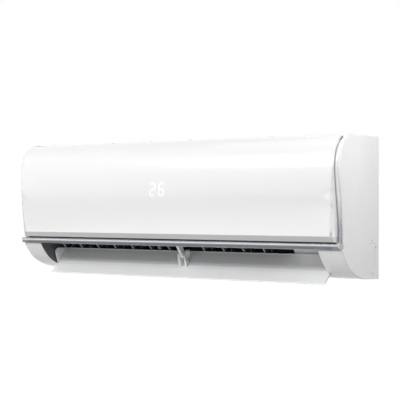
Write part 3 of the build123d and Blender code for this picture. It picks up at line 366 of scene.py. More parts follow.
@dataclass(frozen=True)
class GlossPanel:
    """Gloss white panel, with the lit figures of the display showing through it."""

    name: str = "panel_gloss_white"
    colour: Point = (0.88, 0.88, 0.88)
    darker: float = 0.985
    cloud: float = 200.0 * MM
    roughness: Pair = (0.20, 0.17)
    coat_roughness: float = 0.11
    peel: float = 6.0 * MM
    figures: str = "26"
    centre: Pair = (-10.5 * MM, 37.5 * MM)
    half_width: float = 5.6 * MM
    half_height: float = 12.6 * MM
    pitch: float = 22.0 * MM
    bar: float = 1.5 * MM
    corner: float = 1.8 * MM
    soft: float = 1.1 * MM
    lean: float = 0.10
    front: Pair = (-199.5 * MM, -200.5 * MM)
    glow: float = 0.16
    halo: float = 12.0 * MM
    halo_glow: float = 0.012
    # grey of the lower and side bevels: partly a grey edge, partly painted shade on faces that turn down and
    # aside
    grey_edge_and_painted_shade: Point = (0.58, 0.585, 0.59)
    grey_edge_and_painted_shade_edge: Pair = (-55.1 * MM, -56.1 * MM)
    side_foot: Pair = (381.6 * MM, 70.0 * MM)
    side_slope: float = 0.0525
    side_share: float = 0.35

    def _distance(self, x: Signal, z: Signal, figure: str) -> Signal:
        """Distance to the nearest bar of one figure.

        Args:
            x: Across, from the figure's middle.
            z: Up, from the figure's middle.
            figure: Which figure.

        Returns:
            Distance in metres.
        """
        nearest: Signal | None = None
        for segment in Segment:
            if segment not in FIGURES[figure]:
                continue
            along, up, upright = segment.value
            half_x = 0.0 if upright else self.half_width - self.corner
            half_z = self.half_height / 2 - self.corner if upright else 0.0
            across = (abs(x - along * self.half_width) - half_x).larger(0.0)
            over = (abs(z - up * self.half_height) - half_z).larger(0.0)
            nearest = across + over if nearest is None else nearest.smaller(across + over)
        return nearest

    def _light(self, x: Signal, y: Signal, z: Signal) -> Signal:
        """Strength of the display's light.

        Args:
            x: Across.
            y: Depth.
            z: Height.

        Returns:
            The strength: the figures and the faint halo round them.
        """
        middle, height = self.centre
        up = z - height
        leaning = x - up * self.lean
        first = middle - self.pitch * (len(self.figures) - 1) / 2
        nearest: Signal | None = None
        for index, figure in enumerate(self.figures):
            distance = self._distance(leaning - (first + self.pitch * index), up, figure)
            nearest = distance if nearest is None else nearest.smaller(distance)
        front = y.ranged(*self.front)
        lit = nearest.ranged(self.bar + self.soft, self.bar * 0.5) * front
        return lit * self.glow + nearest.ranged(self.halo, self.bar) * front * self.halo_glow

    def material(self) -> Material:
        """Make the material, darker on the lower bevel and the side bevels: a grey edge with painted shade.

        Returns:
            The finish as a material.
        """
        graph = Surface(self.name)
        x, y, z = graph.axes()
        foot, drop = self.side_foot
        # share of the grey edge and painted shade down the side bevels
        side_grey_and_painted_shade = (abs(x) - ((z + drop) * self.side_slope + foot)).ranged(0.0, 1.0 * MM) * self.side_share
        cloud = graph.noise(self.cloud, 2.0)
        face = graph.clouded(cloud, self.colour, self.darker)
        return graph.finished(
            Base_Color=graph.mixed(z.ranged(*self.grey_edge_and_painted_shade_edge).larger(side_grey_and_painted_shade), face, self.grey_edge_and_painted_shade),
            Roughness=cloud.ranged(*CLOUD, *self.roughness),
            Specular_IOR_Level=1.0,
            Emission_Color=graph.mixed(self._light(x, y, z), BLACK, WHITE),
            Emission_Strength=1.0,
            Normal=graph.bump(graph.noise(self.peel, 2.0), 0.04, 0.04 * MM),
            Coat_Weight=1.0,
            Coat_Roughness=self.coat_roughness,
        )


@dataclass(frozen=True)
class SilverPaint:
    """Silver paint with fine metal flake: a lighter ridge, a painted highlight, above a darker satin strip,
    painted shade.
    """

    name: str = "silver_paint"
    flakes: float = 3500.0
    # painted highlight: the ridge, lighter than the strip below
    ridge: Point = (0.53, 0.55, 0.575)
    ridge_flake: float = 0.92
    # painted shade: the darker lower strip
    painted_shade_band: Point = (0.37, 0.385, 0.41)
    band_flake: float = 0.88
    band_edge: Pair = (-73.4 * MM, -75.0 * MM)
    band_end: Pair = (383.0 * MM, 388.0 * MM)
    # painted reflection: white up the sides, for the silver reflecting its white surroundings
    painted_reflection_rail: Point = (0.84, 0.845, 0.85)
    rail_edge: Pair = (390.0 * MM, 392.0 * MM)
    rail_rise: Pair = (-45.0 * MM, 25.0 * MM)
    metal: float = 0.85
    roughness: Pair = (0.27, 0.18)
    satin: float = 0.14

    def material(self) -> Material:
        """Make the material, white and not metallic up the sides of the frame as a painted reflection.

        Returns:
            The finish as a material.
        """
        graph = Surface(self.name)
        sparkle = graph.cells(self.flakes)
        x, _, z = graph.axes()
        # mask of the painted shade, which also roughens the lower strip
        satin = z.ranged(*self.band_edge) * (1.0 - abs(x).ranged(*self.band_end))
        # mask of the painted reflection up the sides
        pale = abs(x).ranged(*self.rail_edge) * z.ranged(*self.rail_rise)
        ridge = graph.mixed(sparkle, shade(self.ridge, self.ridge_flake), self.ridge)
        painted_shade_band = graph.mixed(sparkle, shade(self.painted_shade_band, self.band_flake), self.painted_shade_band)
        return graph.finished(
            Base_Color=graph.mixed(pale, graph.mixed(satin, ridge, painted_shade_band), self.painted_reflection_rail),
            Metallic=self.metal - pale * self.metal,
            Roughness=satin * self.satin + sparkle.ranged(0.0, 1.0, *self.roughness),
            Normal=graph.bump(sparkle, 0.05, 0.03 * MM),
            Coat_Weight=0.3,
            Coat_Roughness=0.08,
        )


@dataclass(frozen=True)
class ZincSheet:
    """Zinc-coated sheet steel with its spangle and a rolling direction."""

    name: str = "zinc_sheet"
    colour: Point = (0.55, 0.56, 0.57)
    contrast: Pair = (0.88, 1.12)
    spangle: float = 11.0 * MM
    streak: float = 2.0 * MM
    roughness: float = 0.28
    swing: float = 0.10

    def material(self) -> Material:
        """Make the material.

        Returns:
            The finish as a material.
        """
        graph = Surface(self.name)
        tone = graph.cells(1.0 / self.spangle)
        rolled = graph.noise(self.streak, 3.0, graph.stretched((0.04, 1.0, 1.0)))
        return graph.finished(
            Base_Color=graph.mixed(tone, *(shade(self.colour, factor) for factor in self.contrast)),
            Metallic=0.95,
            Roughness=(tone * self.swing + rolled * self.swing) + self.roughness,
            Normal=graph.bump(rolled, 0.08, 0.04 * MM),
        )


@dataclass(frozen=True)
class FinStack:
    """Aluminium fins side by side along X, with dust, bent edges and painted shade between the fins."""

    name: str = "coil_fins"
    colour: Point = (0.60, 0.68, 0.72)
    pitch: float = 1.3 * MM
    edge: Pair = (0.16, 0.42)
    # painted shade: darkening in the gaps between the fins
    gap: float = 0.16
    dust: float = 30.0 * MM
    dust_levels: Pair = (0.35, 0.75)
    dusty: float = 0.86
    bent: float = 4.0 * MM
    roughness: Pair = (0.30, 0.48)

    def material(self) -> Material:
        """Make the material.

        Returns:
            The finish as a material.
        """
        graph = Surface(self.name)
        x, _, _ = graph.axes()
        ridge = abs((x / self.pitch).wrapped() - 0.5).ranged(*self.edge)
        dust = graph.noise(self.dust, 4.0).ranged(*self.dust_levels)
        bent = graph.noise(self.bent, 2.0, graph.stretched((3.0, 0.5, 0.5)))
        lit = graph.mixed(dust, self.colour, shade(self.colour, self.dusty))
        return graph.finished(
            Base_Color=graph.mixed(ridge, shade(self.colour, self.gap), lit),
            Metallic=ridge * 0.9,
            Roughness=bent.ranged(*CLOUD, *self.roughness),
            Normal=graph.bump(ridge, 0.8, 0.6 * MM),
        )


@dataclass(frozen=True)
class Bloomed:
    """Copper or rubber with soft clouds of oxide or bloom, over a fine relief."""

    name: str
    colour: Point
    bloom: Point
    cloud: float
    detail: float
    levels: Pair
    roughness: Ramp
    grain: float
    relief: Pair
    metal: float = 0.0

    def material(self) -> Material:
        """Make the material.

        Returns:
            The finish as a material.
        """
        graph = Surface(self.name)
        cloud = graph.noise(self.cloud, self.detail)
        return graph.finished(
            Base_Color=graph.mixed(cloud.ranged(*self.levels), self.colour, self.bloom),
            Metallic=self.metal,
            Roughness=cloud.ranged(*self.roughness),
            Normal=graph.bump(graph.noise(self.grain, 2.0), *self.relief),
        )


@dataclass(frozen=True)
class TurnedMetal:
    """Metal turned on a lathe, with its fine rings across the X axis."""

    name: str
    colour: Point
    cloud: float = 12.0 * MM
    cloud_levels: Pair = (0.35, 0.7)
    dull: float = 0.86
    rings: float = 0.3 * MM
    roughness: Pair = (0.24, 0.36)

    def material(self) -> Material:
        """Make the material.

        Returns:
            The finish as a material.
        """
        graph = Surface(self.name)
        rings = graph.noise(self.rings, 2.0, graph.stretched((1.0, 0.03, 0.03)))
        cloud = graph.noise(self.cloud).ranged(*self.cloud_levels)
        return graph.finished(
            Base_Color=graph.mixed(cloud, self.colour, shade(self.colour, self.dull)),
            Metallic=1.0,
            Roughness=rings.ranged(*CLOUD, *self.roughness),
            Normal=graph.bump(rings, 0.10, 0.04 * MM),
        )


@dataclass(frozen=True)
class FilterMesh:
    """Woven filter net held in a moulded rim."""

    name: str = "filter_mesh"
    thread: Point = (0.055, 0.060, 0.070)
    gap: Point = (0.010, 0.011, 0.013)
    pitch: float = 1.1 * MM
    thread_edge: Pair = (0.28, 0.40)
    tilt: float = 0.35
    dust: float = 20.0 * MM
    dust_levels: Pair = (0.5, 0.8)
    dusty: float = 1.5
    roughness: Pair = (0.80, 0.50)

    def material(self) -> Material:
        """Make the material.

        Returns:
            The finish as a material.
        """
        graph = Surface(self.name)
        x, y, z = graph.axes()
        across = abs((x / self.pitch).wrapped() - 0.5)
        up = abs(((z - y * self.tilt) / self.pitch).wrapped() - 0.5)
        thread = across.larger(up).ranged(*self.thread_edge)
        dust = graph.noise(self.dust, 4.0).ranged(*self.dust_levels)
        lit = graph.mixed(dust, self.thread, shade(self.thread, self.dusty))
        return graph.finished(
            Base_Color=graph.mixed(thread, self.gap, lit),
            Roughness=thread.ranged(0.0, 1.0, *self.roughness),
            Normal=graph.bump(thread, 0.6, 0.3 * MM),
        )


@dataclass(frozen=True)
class CircuitBoard:
    """Green solder resist over copper tracks, with dark component cases."""

    name: str
    face: float
    axis: int
    outward: float
    resist: Point = (0.020, 0.13, 0.055)
    track: Point = (0.035, 0.21, 0.085)
    part: Point = (0.018, 0.018, 0.020)
    tracks: float = 260.0
    track_edge: Pair = (0.42, 0.48)
    standing: Pair = (0.2 * MM, 0.6 * MM)
    worn: float = 6.0 * MM
    worn_levels: Pair = (0.4, 0.7)
    paler: float = 1.7

    def material(self) -> Material:
        """Make the material, with case black on what stands out from the board's face.

        Returns:
            The finish as a material.
        """
        graph = Surface(self.name)
        tracks = graph.node(
            "ShaderNodeTexVoronoi",
            {"feature": "F1", "distance": "CHEBYCHEV"},
            {"Vector": graph.place, "Scale": self.tracks},
            "Distance",
        )
        line = tracks.ranged(*self.track_edge)
        board = graph.mixed(line, self.resist, self.track)
        standing = ((graph.axes()[self.axis] - self.face) * self.outward).ranged(*self.standing)
        worn = graph.noise(self.worn).ranged(*self.worn_levels)
        case = graph.mixed(worn, self.part, shade(self.part, self.paler))
        return graph.finished(
            Base_Color=graph.mixed(standing, board, case),
            Roughness=standing * 0.22 + 0.28,
            Normal=graph.bump(line, 0.3, 0.04 * MM),
            Coat_Weight=0.2,
            Coat_Roughness=0.1,
        )


def made_once(finish: object) -> Material:
    """Field of a finish, whose material is made with the set."""
    return field(default_factory=finish.material)


@dataclass(frozen=True)
class Finishes:
    """All the finishes, made once and shared."""

    white: Material = made_once(Moulding("body_white", (0.86, 0.86, 0.855), 0.36, clear=0.10))
    cover: Material = made_once(EndCoverPlastic("cover_white", (0.86, 0.86, 0.855), 0.36, clear=0.10))
    duct: Material = made_once(Moulding("duct_grey", (0.075, 0.078, 0.082), 0.46))
    panel: Material = made_once(GlossPanel())
    silver: Material = made_once(SilverPaint())
    flap: Material = made_once(FlapPearl())
    vane: Material = made_once(Moulding("vane_grey", (0.115, 0.12, 0.125), 0.34))
    vanes_left: Material = made_once(VaneBlade("vane_blades_left"))
    vanes_right: Material = made_once(VaneBlade("vane_blades_right", first=59.0 * MM))
    grey: Material = made_once(Moulding("tray_grey", (0.17, 0.175, 0.18), 0.45))
    black: Material = made_once(Moulding("fan_black", (0.016, 0.016, 0.018), 0.34, variation=0.1))
    box: Material = made_once(Moulding("box_grey", (0.20, 0.21, 0.22), 0.50))
    lens: Material = made_once(Moulding("lens_smoke", (0.10, 0.105, 0.115), 0.12, clear=0.5))
    clear: Material = made_once(Moulding("clear_collar", (0.80, 0.81, 0.82), 0.16, clear=0.6, alpha=0.72))
    zinc: Material = made_once(ZincSheet())
    fins: Material = made_once(FinStack())
    copper: Material = made_once(
        Bloomed(
            "copper_tube",
            (0.72, 0.33, 0.20),
            (0.42, 0.18, 0.11),
            cloud=18.0 * MM,
            detail=5.0,
            levels=(0.42, 0.72),
            roughness=(0.35, 0.75, 0.24, 0.46),
            grain=0.7 * MM,
            relief=(0.06, 0.03 * MM),
            metal=0.96,
        )
    )
    brass: Material = made_once(TurnedMetal("turned_brass", (0.78, 0.57, 0.26)))
    steel: Material = made_once(TurnedMetal("turned_steel", (0.60, 0.60, 0.61)))
    motor: Material = made_once(
        Moulding("motor_resin", (0.035, 0.036, 0.040), 0.46, grain=1.6 * MM, variation=0.12)
    )
    rubber: Material = made_once(
        Bloomed(
            "black_rubber",
            (0.018, 0.018, 0.019),
            shade((0.018, 0.018, 0.019), 2.4),
            cloud=8.0 * MM,
            detail=4.0,
            levels=(0.45, 0.8),
            roughness=(0.3, 0.8, 0.55, 0.78),
            grain=0.6 * MM,
            relief=(0.2, 0.05 * MM),
        )
    )
    filter: Material = made_once(FilterMesh())
    main_board: Material = made_once(CircuitBoard("main_board", 382.4 * MM, axis=0, outward=-1.0))
    small_board: Material = made_once(CircuitBoard("display_board", -193.0 * MM, axis=1, outward=1.0))


# ---- modelling helpers
def dress(material: Material, *nodes: str) -> None:
    """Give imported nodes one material.

    Args:
        material: The finish.
        *nodes: Their names.
    """
    for node in nodes:
        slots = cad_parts[node].data.materials
        slots.clear()
        slots.append(material)


def enter(mode: str) -> None:
    """Go into edit or object mode."""
    bpy.ops.object.mode_set(mode=mode)


def deselect() -> None:
    """Leave nothing selected, in object mode."""
    if bpy.context.object and bpy.context.object.mode != "OBJECT":
        enter("OBJECT")
    bpy.ops.object.select_all(action="DESELECT")


def choose(*pieces: Object) -> Object:
    """Select only some pieces.

    Args:
        *pieces: The pieces.

    Returns:
        The first, which is active.
    """
    deselect()
    for piece in pieces:
        piece.select_set(True)
    bpy.context.view_layer.objects.active = pieces[0]
    return pieces[0]


def choose_faces(piece: Object, wanted: Callable[[bpy.types.MeshPolygon], bool]) -> None:
    """Select faces by their place or normal, and enter edit mode.

    Args:
        piece: The piece, active and in object mode.
        wanted: Tells which faces.
    """
    enter("EDIT")
    bpy.ops.mesh.select_mode(type="FACE")
    bpy.ops.mesh.select_all(action="DESELECT")
    enter("OBJECT")
    for face in piece.data.polygons:
        face.select = wanted(face)
    enter("EDIT")


def inset_end(piece: Object, axis: Point, margin: float, move: Point) -> None:
    """Inset the faces that look one way, and move what is inside.

    Args:
        piece: The piece, active and in object mode.
        axis: Which way the faces look.
        margin: Width of the rim that stays.
        move: How far the inner faces go.
    """
    choose_faces(piece, lambda face: face.normal.dot(Vector(axis)) > FACING)
    bpy.ops.mesh.inset(thickness=margin)
    bpy.ops.transform.translate(value=move)
    enter("OBJECT")


def face_outwards() -> None:
    """Turn all faces of the mesh in edit mode outwards, and leave edit mode."""
    bpy.ops.mesh.select_all(action="SELECT")
    bpy.ops.mesh.normals_make_consistent(inside=False)
    enter("OBJECT")


def apply_new(piece: Object, kind: str, **settings: object) -> None:
    """Put a modifier on a piece and apply it.

    Args:
        piece: The piece, in object mode.
        kind: The modifier's type.
        **settings: Its properties.
    """
    modifier = piece.modifiers.new(kind.lower(), kind)
    for key, value in settings.items():
        setattr(modifier, key, value)
    bpy.context.view_layer.objects.active = piece
    bpy.ops.object.modifier_apply(modifier=modifier.name)


def cut_away(piece: Object, cutter: Object) -> None:
    """Cut a piece by another, which is then removed."""
    apply_new(piece, "BOOLEAN", operation="DIFFERENCE", object=cutter, solver="EXACT")
    bpy.data.objects.remove(cutter)


def applied(piece: Object) -> Object:
    """Put the place, turn and size of a piece, selected alone, into its mesh, and give it back."""
    bpy.ops.object.transform_apply(location=True, rotation=True, scale=True)
    return piece


def block(middle: Sequence[float], size: Sequence[float], turn: float = 0.0) -> Object:
    """Add a block, as a start for shaping or as a cutter.

    Args:
        middle: Its middle.
        size: Its size.
        turn: How far it is turned about Z, in radians.

    Returns:
        The block, active.
    """
    deselect()
    bpy.ops.mesh.primitive_cube_add(size=1.0, location=middle, rotation=(0, 0, turn))
    made = bpy.context.object
    made.scale = size
    return made


def linked(name: str, mesh: bpy.types.Mesh) -> Object:
    """Put a mesh in the scene.

    Args:
        name: Name of the object.
        mesh: The mesh.

    Returns:
        The object.
    """
    made = bpy.data.objects.new(name, mesh)
    bpy.context.scene.collection.objects.link(made)
    return made


def joined(pieces: Sequence[Object]) -> Object:
    """Join several pieces into the first.

    Args:
        pieces: The pieces.

    Returns:
        The first.
    """
    first = choose(*pieces)
    bpy.ops.object.join()
    return first


def copied(pattern: Object, placements: Iterable[Matrix]) -> Object:
    """Put a copy of a piece's mesh at each placement, join them and remove the pattern.

    Args:
        pattern: The piece.
        placements: Where the mesh's origin goes.

    Returns:
        The joined copies.
    """
    copies = []
    for placement in placements:
        copy = linked("copy", pattern.data.copy())
        copy.matrix_world = placement
        copies.append(copy)
    bpy.data.objects.remove(pattern)
    return joined(copies)


@dataclass
class NewPiece:
    """What each new piece has: name, finish, the record's slot for it and the body that carries it."""

    name: str
    material: Material
    slot: str
    body: str = "cabinet"

    def settle(self, piece: Object, sharp: float = 30.0) -> None:
        """Finish the modelled mesh: place in the mesh, name, material, body and smooth shading.

        Args:
            piece: The mesh's object, in object mode.
            sharp: Degrees past which an edge stays sharp. At 0 nothing is smoothed.
        """
        name, body, slot = self.name, self.body, self.slot
        applied(choose(piece))
        piece.name = piece.data.name = name
        piece.data.materials.clear()
        piece.data.materials.append(self.material)
        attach(piece, body)
        if sharp:
            bpy.ops.object.shade_smooth_by_angle(angle=math.radians(sharp))
        log.info("%s: %d faces", name, len(piece.data.polygons))


# ---- new pieces
@dataclass
class PanScrews(NewPiece):
    """Pan-head screws with a cross recess, modelled once and copied."""

    places: Sequence[Point] = ()
    facing: Point = (0.0, 0.0, 1.0)
    size: float = 1.0
    head: float = 3.4 * MM
    height: float = 1.7 * MM
    rim: float = 0.748 * MM
    dome: float = 0.272 * MM
    cross: Point = (3.91 * MM, 0.88 * MM, 1.4 * MM)
    turn: float = 0.7

    def _head(self) -> Object:
        """Model one head, which faces +Z.

        Returns:
            The head.
        """
        deselect()
        bpy.ops.mesh.primitive_cylinder_add(
            vertices=24, radius=self.head, depth=self.height, location=(0, 0, self.height / 2)
        )
        head = bpy.context.object
        inset_end(head, (0, 0, 1), self.rim, (0, 0, self.dome))
        for quarter in (0.0, math.pi / 2):
            cut_away(head, block((0, 0, self.height + self.dome), self.cross, quarter))
        return head

    def build(self) -> None:
        """Put a head at each place, each turned further than the one before."""
        tilt = Vector((0.0, 0.0, 1.0)).rotation_difference(Vector(self.facing)).to_matrix().to_4x4()
        placements = []
        for index, place in enumerate(self.places):
            turn = Matrix.Rotation(self.turn * index, 4, "Z")
            placements.append(Matrix.Translation(place) @ tilt @ turn @ Matrix.Scale(self.size, 4))
        self.settle(copied(self._head(), placements))


@dataclass
class HexCollar(NewPiece):
    """Six-sided collar on the flap's middle lug, round its hinge pin."""

    centre: Point = (15.0 * MM, -124.0 * MM, -103.0 * MM)
    width: float = 2.8 * MM
    outer: float = 14.2 * MM
    bore: float = 10.4 * MM
    edge: float = 0.5 * MM

    def build(self) -> None:
        """Model the collar: bore a hexagon through and bevel its edges."""
        deselect()
        bpy.ops.mesh.primitive_cylinder_add(
            vertices=6,
            radius=self.outer,
            depth=self.width,
            location=self.centre,
            rotation=(0, math.pi / 2, 0),
        )
        ring = applied(bpy.context.object)
        choose_faces(ring, lambda face: abs(face.normal.x) > FACING)
        bpy.ops.mesh.inset(thickness=self.outer - self.bore)
        bpy.ops.mesh.bridge_edge_loops()
        face_outwards()
        apply_new(ring, "BEVEL", width=self.edge, segments=2)
        self.settle(ring)


@dataclass
class GrilleTabs(NewPiece):
    """Small stops on the grille just behind its nose, modelled once and copied."""

    places: tuple[float, ...] = (-170 * MM, -66 * MM, 37 * MM, 129 * MM, 233 * MM)
    size: Point = (6.0 * MM, 8.0 * MM, 1.6 * MM)
    seat: Pair = (-147.5 * MM, 142.4 * MM)
    margin: float = 0.5 * MM
    rise: Point = (0, 0.6 * MM, 0.2 * MM)
    edge: float = 0.2 * MM

    def build(self) -> None:
        """Model one tab with a sloped front and copy it along the grille."""
        tab = applied(block((0, *self.seat), self.size))
        inset_end(tab, (0, 0, 1), self.margin, self.rise)
        apply_new(tab, "BEVEL", width=self.edge, segments=2)
        self.settle(copied(tab, [Matrix.Translation((x, 0, 0)) for x in self.places]))


@dataclass(frozen=True)
class SideBevel:
    """Bevel down each side of the panel, in millimetres.

    Its stations are (height, face, share of the full width). The cut starts ahead of the face and goes
    deeper than the edge. Its wedge stands clear of the face in front and reaches beyond the edge.
    """

    stations: tuple[Point, ...] = (
        (-72.0, -192.3, 1.0),
        (-20.0, -198.2, 0.80),
        (40.0, -202.6, 0.45),
        (62.0, -202.2, 0.30),
        (82.0, -200.0, 0.18),
        (102.0, -194.8, 0.08),
    )
    edge: float = 392.5
    width: float = 10.0
    depth: float = 6.0
    ahead: float = 0.5
    deeper: float = 0.12
    clear: float = 8.0
    beyond: float = 3.0

    def at(self, height: float) -> Point:
        """Start of the bevel on the face, and its slope.

        Args:
            height: Height of a station or between two.

        Returns:
            Place across and to the front, and how far back it goes for each millimetre outwards.
        """
        for lower, upper in zip(self.stations, self.stations[1:]):
            if height <= upper[0]:
                break
        (low, low_face, low_share), (high, high_face, high_share) = lower, upper
        part = (height - low) / (high - low)
        face = low_face + (high_face - low_face) * part - self.ahead
        width = self.width * (low_share + (high_share - low_share) * part)
        slope = (self.depth / self.width * width + self.ahead) / width
        return self.edge - width - self.deeper, face, slope

    def cutter(self, hand: int) -> Object:
        """Wedge that cuts the bevel from top to bottom.

        Args:
            hand: 1 for the right side, -1 for the left.

        Returns:
            The wedge.
        """
        far = self.edge + self.beyond
        form = bmesh.new()
        rings = []
        for height, _, _ in self.stations:
            across, face, slope = self.at(height)
            front, back = face - self.clear, face + (far - across) * slope
            corners = ((across - self.clear / slope, front), (far, front), (far, back))
            rings.append([form.verts.new((hand * x * MM, y * MM, height * MM)) for x, y in corners])
        for lower, upper in zip(rings, rings[1:]):
            for i, j in ((0, 1), (1, 2), (2, 0)):
                form.faces.new((lower[i], lower[j], upper[j], upper[i]))
        form.faces.new(rings[0][::-1])
        form.faces.new(rings[-1])
        bmesh.ops.recalc_face_normals(form, faces=form.faces)
        mesh = bpy.data.meshes.new("bevel_wedge")
        form.to_mesh(mesh)
        form.free()
        return linked("bevel_wedge", mesh)


@dataclass
class PanelShell(NewPiece):
    """The panel's moulding with its side bevels cut through from top to bottom."""

    node: str = "front_panel"
    bevel: SideBevel = SideBevel()
    merge: float = 0.004 * MM
    sharp: float = 24.0

    def build(self) -> None:
        """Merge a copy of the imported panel, cut both bevels and let it stand for the node."""
        shell = choose(linked(self.name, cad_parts[self.node].data.copy()))
        enter("EDIT")
        bpy.ops.mesh.select_all(action="SELECT")
        bpy.ops.mesh.remove_doubles(threshold=self.merge)
        enter("OBJECT")
        for hand in (1, -1):
            cut_away(shell, self.bevel.cutter(hand))
        self.settle(shell, self.sharp)
        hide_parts(self.node)


@dataclass(frozen=True)
class Rib:
    """One rib in millimetres: its middle, width, distance behind the bevel, and stations."""

    across: float
    width: float
    recess: float
    heights: tuple[float, ...]


@dataclass
class PanelEdgeRibs(NewPiece):
    """Ribs along the inside of each side bevel of the panel, where its wall runs thin."""

    bevel: SideBevel = SideBevel()
    ribs: tuple[Rib, ...] = (
        Rib(387.85, 5.9, 0.06, (-4.0, -20.0, -61.5)),
        Rib(386.3, 4.4, 0.10, (-44.0, -61.3)),
    )
    thickness: float = 1.0
    lean: float = math.atan(0.66)
    edge: float = 0.15 * MM

    def _rib(self, hand: int, rib: Rib) -> Object:
        """Model one rib: a thin section extruded down along the bevel.

        Args:
            hand: 1 for the right side, -1 for the left.
            rib: Its sizes.

        Returns:
            The rib.
        """
        deselect()
        line = []
        for height in rib.heights:
            start, face, slope = self.bevel.at(height)
            line.append(Vector((hand * rib.across, face + (rib.across - start) * slope, height)) * MM)
        back = Vector((-hand * math.sin(self.lean), math.cos(self.lean), 0.0))
        top = line[0] + back * ((self.thickness / 2 + rib.recess) * MM)
        bpy.ops.mesh.primitive_plane_add(size=1.0, location=top, rotation=(0, 0, hand * self.lean))
        made = bpy.context.object
        made.scale = (rib.width * MM, self.thickness * MM, 1.0)
        applied(made)
        enter("EDIT")
        bpy.ops.mesh.select_all(action="SELECT")
        for place, following in zip(line, line[1:]):
            bpy.ops.mesh.extrude_region_move(TRANSFORM_OT_translate={"value": tuple(following - place)})
        face_outwards()
        apply_new(made, "BEVEL", width=self.edge, segments=1)
        return made

    def build(self) -> None:
        """Model the ribs of both sides as one piece."""
        self.settle(joined([self._rib(hand, rib) for hand in (1, -1) for rib in self.ribs]))


@dataclass
class TrimEndCaps(NewPiece):
    """Rounded caps that close the trim's lower bar against the end covers."""

    inner: float = 396.9 * MM
    outer: float = 399.3 * MM
    front: float = -188.9 * MM
    rear: float = -171.0 * MM
    low: float = -81.4 * MM
    top: float = -69.4 * MM
    low_round: tuple[float, int] = (7.4 * MM, 8)
    top_round: tuple[float, int] = (1.2 * MM, 3)
    near: float = 0.01 * MM
    margin: float = 0.7 * MM
    swell: float = 0.5 * MM

    def _cap(self, hand: int) -> Object:
        """Model one cap: a block with both front edges rounded, the lower one like the bar's.

        Args:
            hand: 1 for the right side, -1 for the left.

        Returns:
            The cap.
        """
        across, depth, height = (self.inner, self.outer), (self.front, self.rear), (self.low, self.top)
        middle = (hand * sum(across) / 2, sum(depth) / 2, sum(height) / 2)
        cap = applied(block(middle, [high - low for low, high in (across, depth, height)]))
        for level, (width, segments) in ((self.low, self.low_round), (self.top, self.top_round)):
            enter("EDIT")
            bpy.ops.mesh.select_mode(type="EDGE")
            bpy.ops.mesh.select_all(action="DESELECT")
            enter("OBJECT")
            for line in cap.data.edges:
                ends = [cap.data.vertices[index].co for index in line.vertices]
                line.select = all(
                    abs(end.y - self.front) < self.near and abs(end.z - level) < self.near for end in ends
                )
            enter("EDIT")
            bpy.ops.mesh.bevel(offset=width, segments=segments, affect="EDGES")
            enter("OBJECT")
        inset_end(cap, (hand, 0, 0), self.margin, (hand * self.swell, 0, 0))
        return cap

    def build(self) -> None:
        """Model both caps as one piece."""
        self.settle(joined([self._cap(1), self._cap(-1)]))


@dataclass
class ClipHooks(NewPiece):
    """Hooks in the slots round each knock-out, modelled once and copied; their black is painted shade inside
    the slots.
    """

    places: tuple[Pair, ...] = ((-37.0, -66.0), (-18.0, -80.0), (-30.0, -136.5))
    size: Point = (2.4 * MM, 3.3 * MM, 2.1 * MM)
    face: float = 402.2 * MM
    margin: float = 0.4 * MM
    dish: Point = (-0.5 * MM, 0, 0.1 * MM)

    def build(self) -> None:
        """Model one hook with a dished end and copy it to every slot."""
        hook = applied(block((self.face - self.size[0] / 2, 0, 0), self.size))
        inset_end(hook, (1, 0, 0), self.margin, self.dish)
        placements = []
        for angle in (0.0, math.pi):
            turn = Matrix.Rotation(angle, 4, "Z")
            placements += [Matrix.Translation((0, y * MM, z * MM)) @ turn for y, z in self.places]
        self.settle(copied(hook, placements), 0.0)


# ---- sub-assemblies
@dataclass
class WallPlate:
    """Steel plate that the unit hangs on."""

    finishes: Finishes

    def build(self) -> None:
        """Dress the plate."""
        dress(self.finishes.zinc, "mounting_plate")


@dataclass
class CabinetShell:
    """Mouldings of the cabinet: chassis, duct, covers, grille, trim and front frame."""

    finishes: Finishes
    white: tuple[str, ...] = (
        "base_chassis",
        "underside_pan",
        "motor_cradle",
        "top_grille",
        "right_knockout",
        "left_knockout",
        "front_frame",
        "filter_guides",
        "filter_ribs",
        "motor_cover",
    )
    screws: tuple[Point, ...] = tuple((x * MM, -171.0 * MM, -79.3 * MM) for x in (-300, 300, -100, 100))
    screw_size: float = 0.9

    def build(self) -> None:
        """Dress the mouldings and add their tabs, caps, hooks and screws."""
        finishes = self.finishes
        dress(finishes.white, *self.white)
        dress(finishes.cover, "right_end_cover", "left_end_cover")
        dress(finishes.duct, "fan_scroll", "duct_bulkheads")
        dress(finishes.silver, "trim_frame")
        dress(finishes.grey, "lower_fascia")
        GrilleTabs("grille_tabs", finishes.white, "body_plastic").build()
        TrimEndCaps("trim_end_caps", finishes.silver, "silver_trim").build()
        # black hooks: painted shade inside the knock-out slots
        ClipHooks("knockout_clips", finishes.black, "fan_plastic").build()
        PanScrews(
            "fascia_screws",
            finishes.steel,
            "bright_steel",
            places=self.screws,
            facing=(0, 0, -1),
            size=self.screw_size,
        ).build()


@dataclass
class FrontPanel:
    """Gloss panel that hinges up, with the button and the display behind it."""

    finishes: Finishes

    def build(self) -> None:
        """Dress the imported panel, add its shell and ribs, and dress what is behind it."""
        panel = self.finishes.panel
        dress(panel, "front_panel")
        PanelShell("panel_shell", panel, "panel_gloss", "front_panel").build()
        PanelEdgeRibs("panel_edge_ribs", panel, "panel_gloss", "front_panel").build()
        dress(self.finishes.white, "manual_button")
        dress(self.finishes.lens, "display_lens")
        dress(self.finishes.small_board, "display_board")


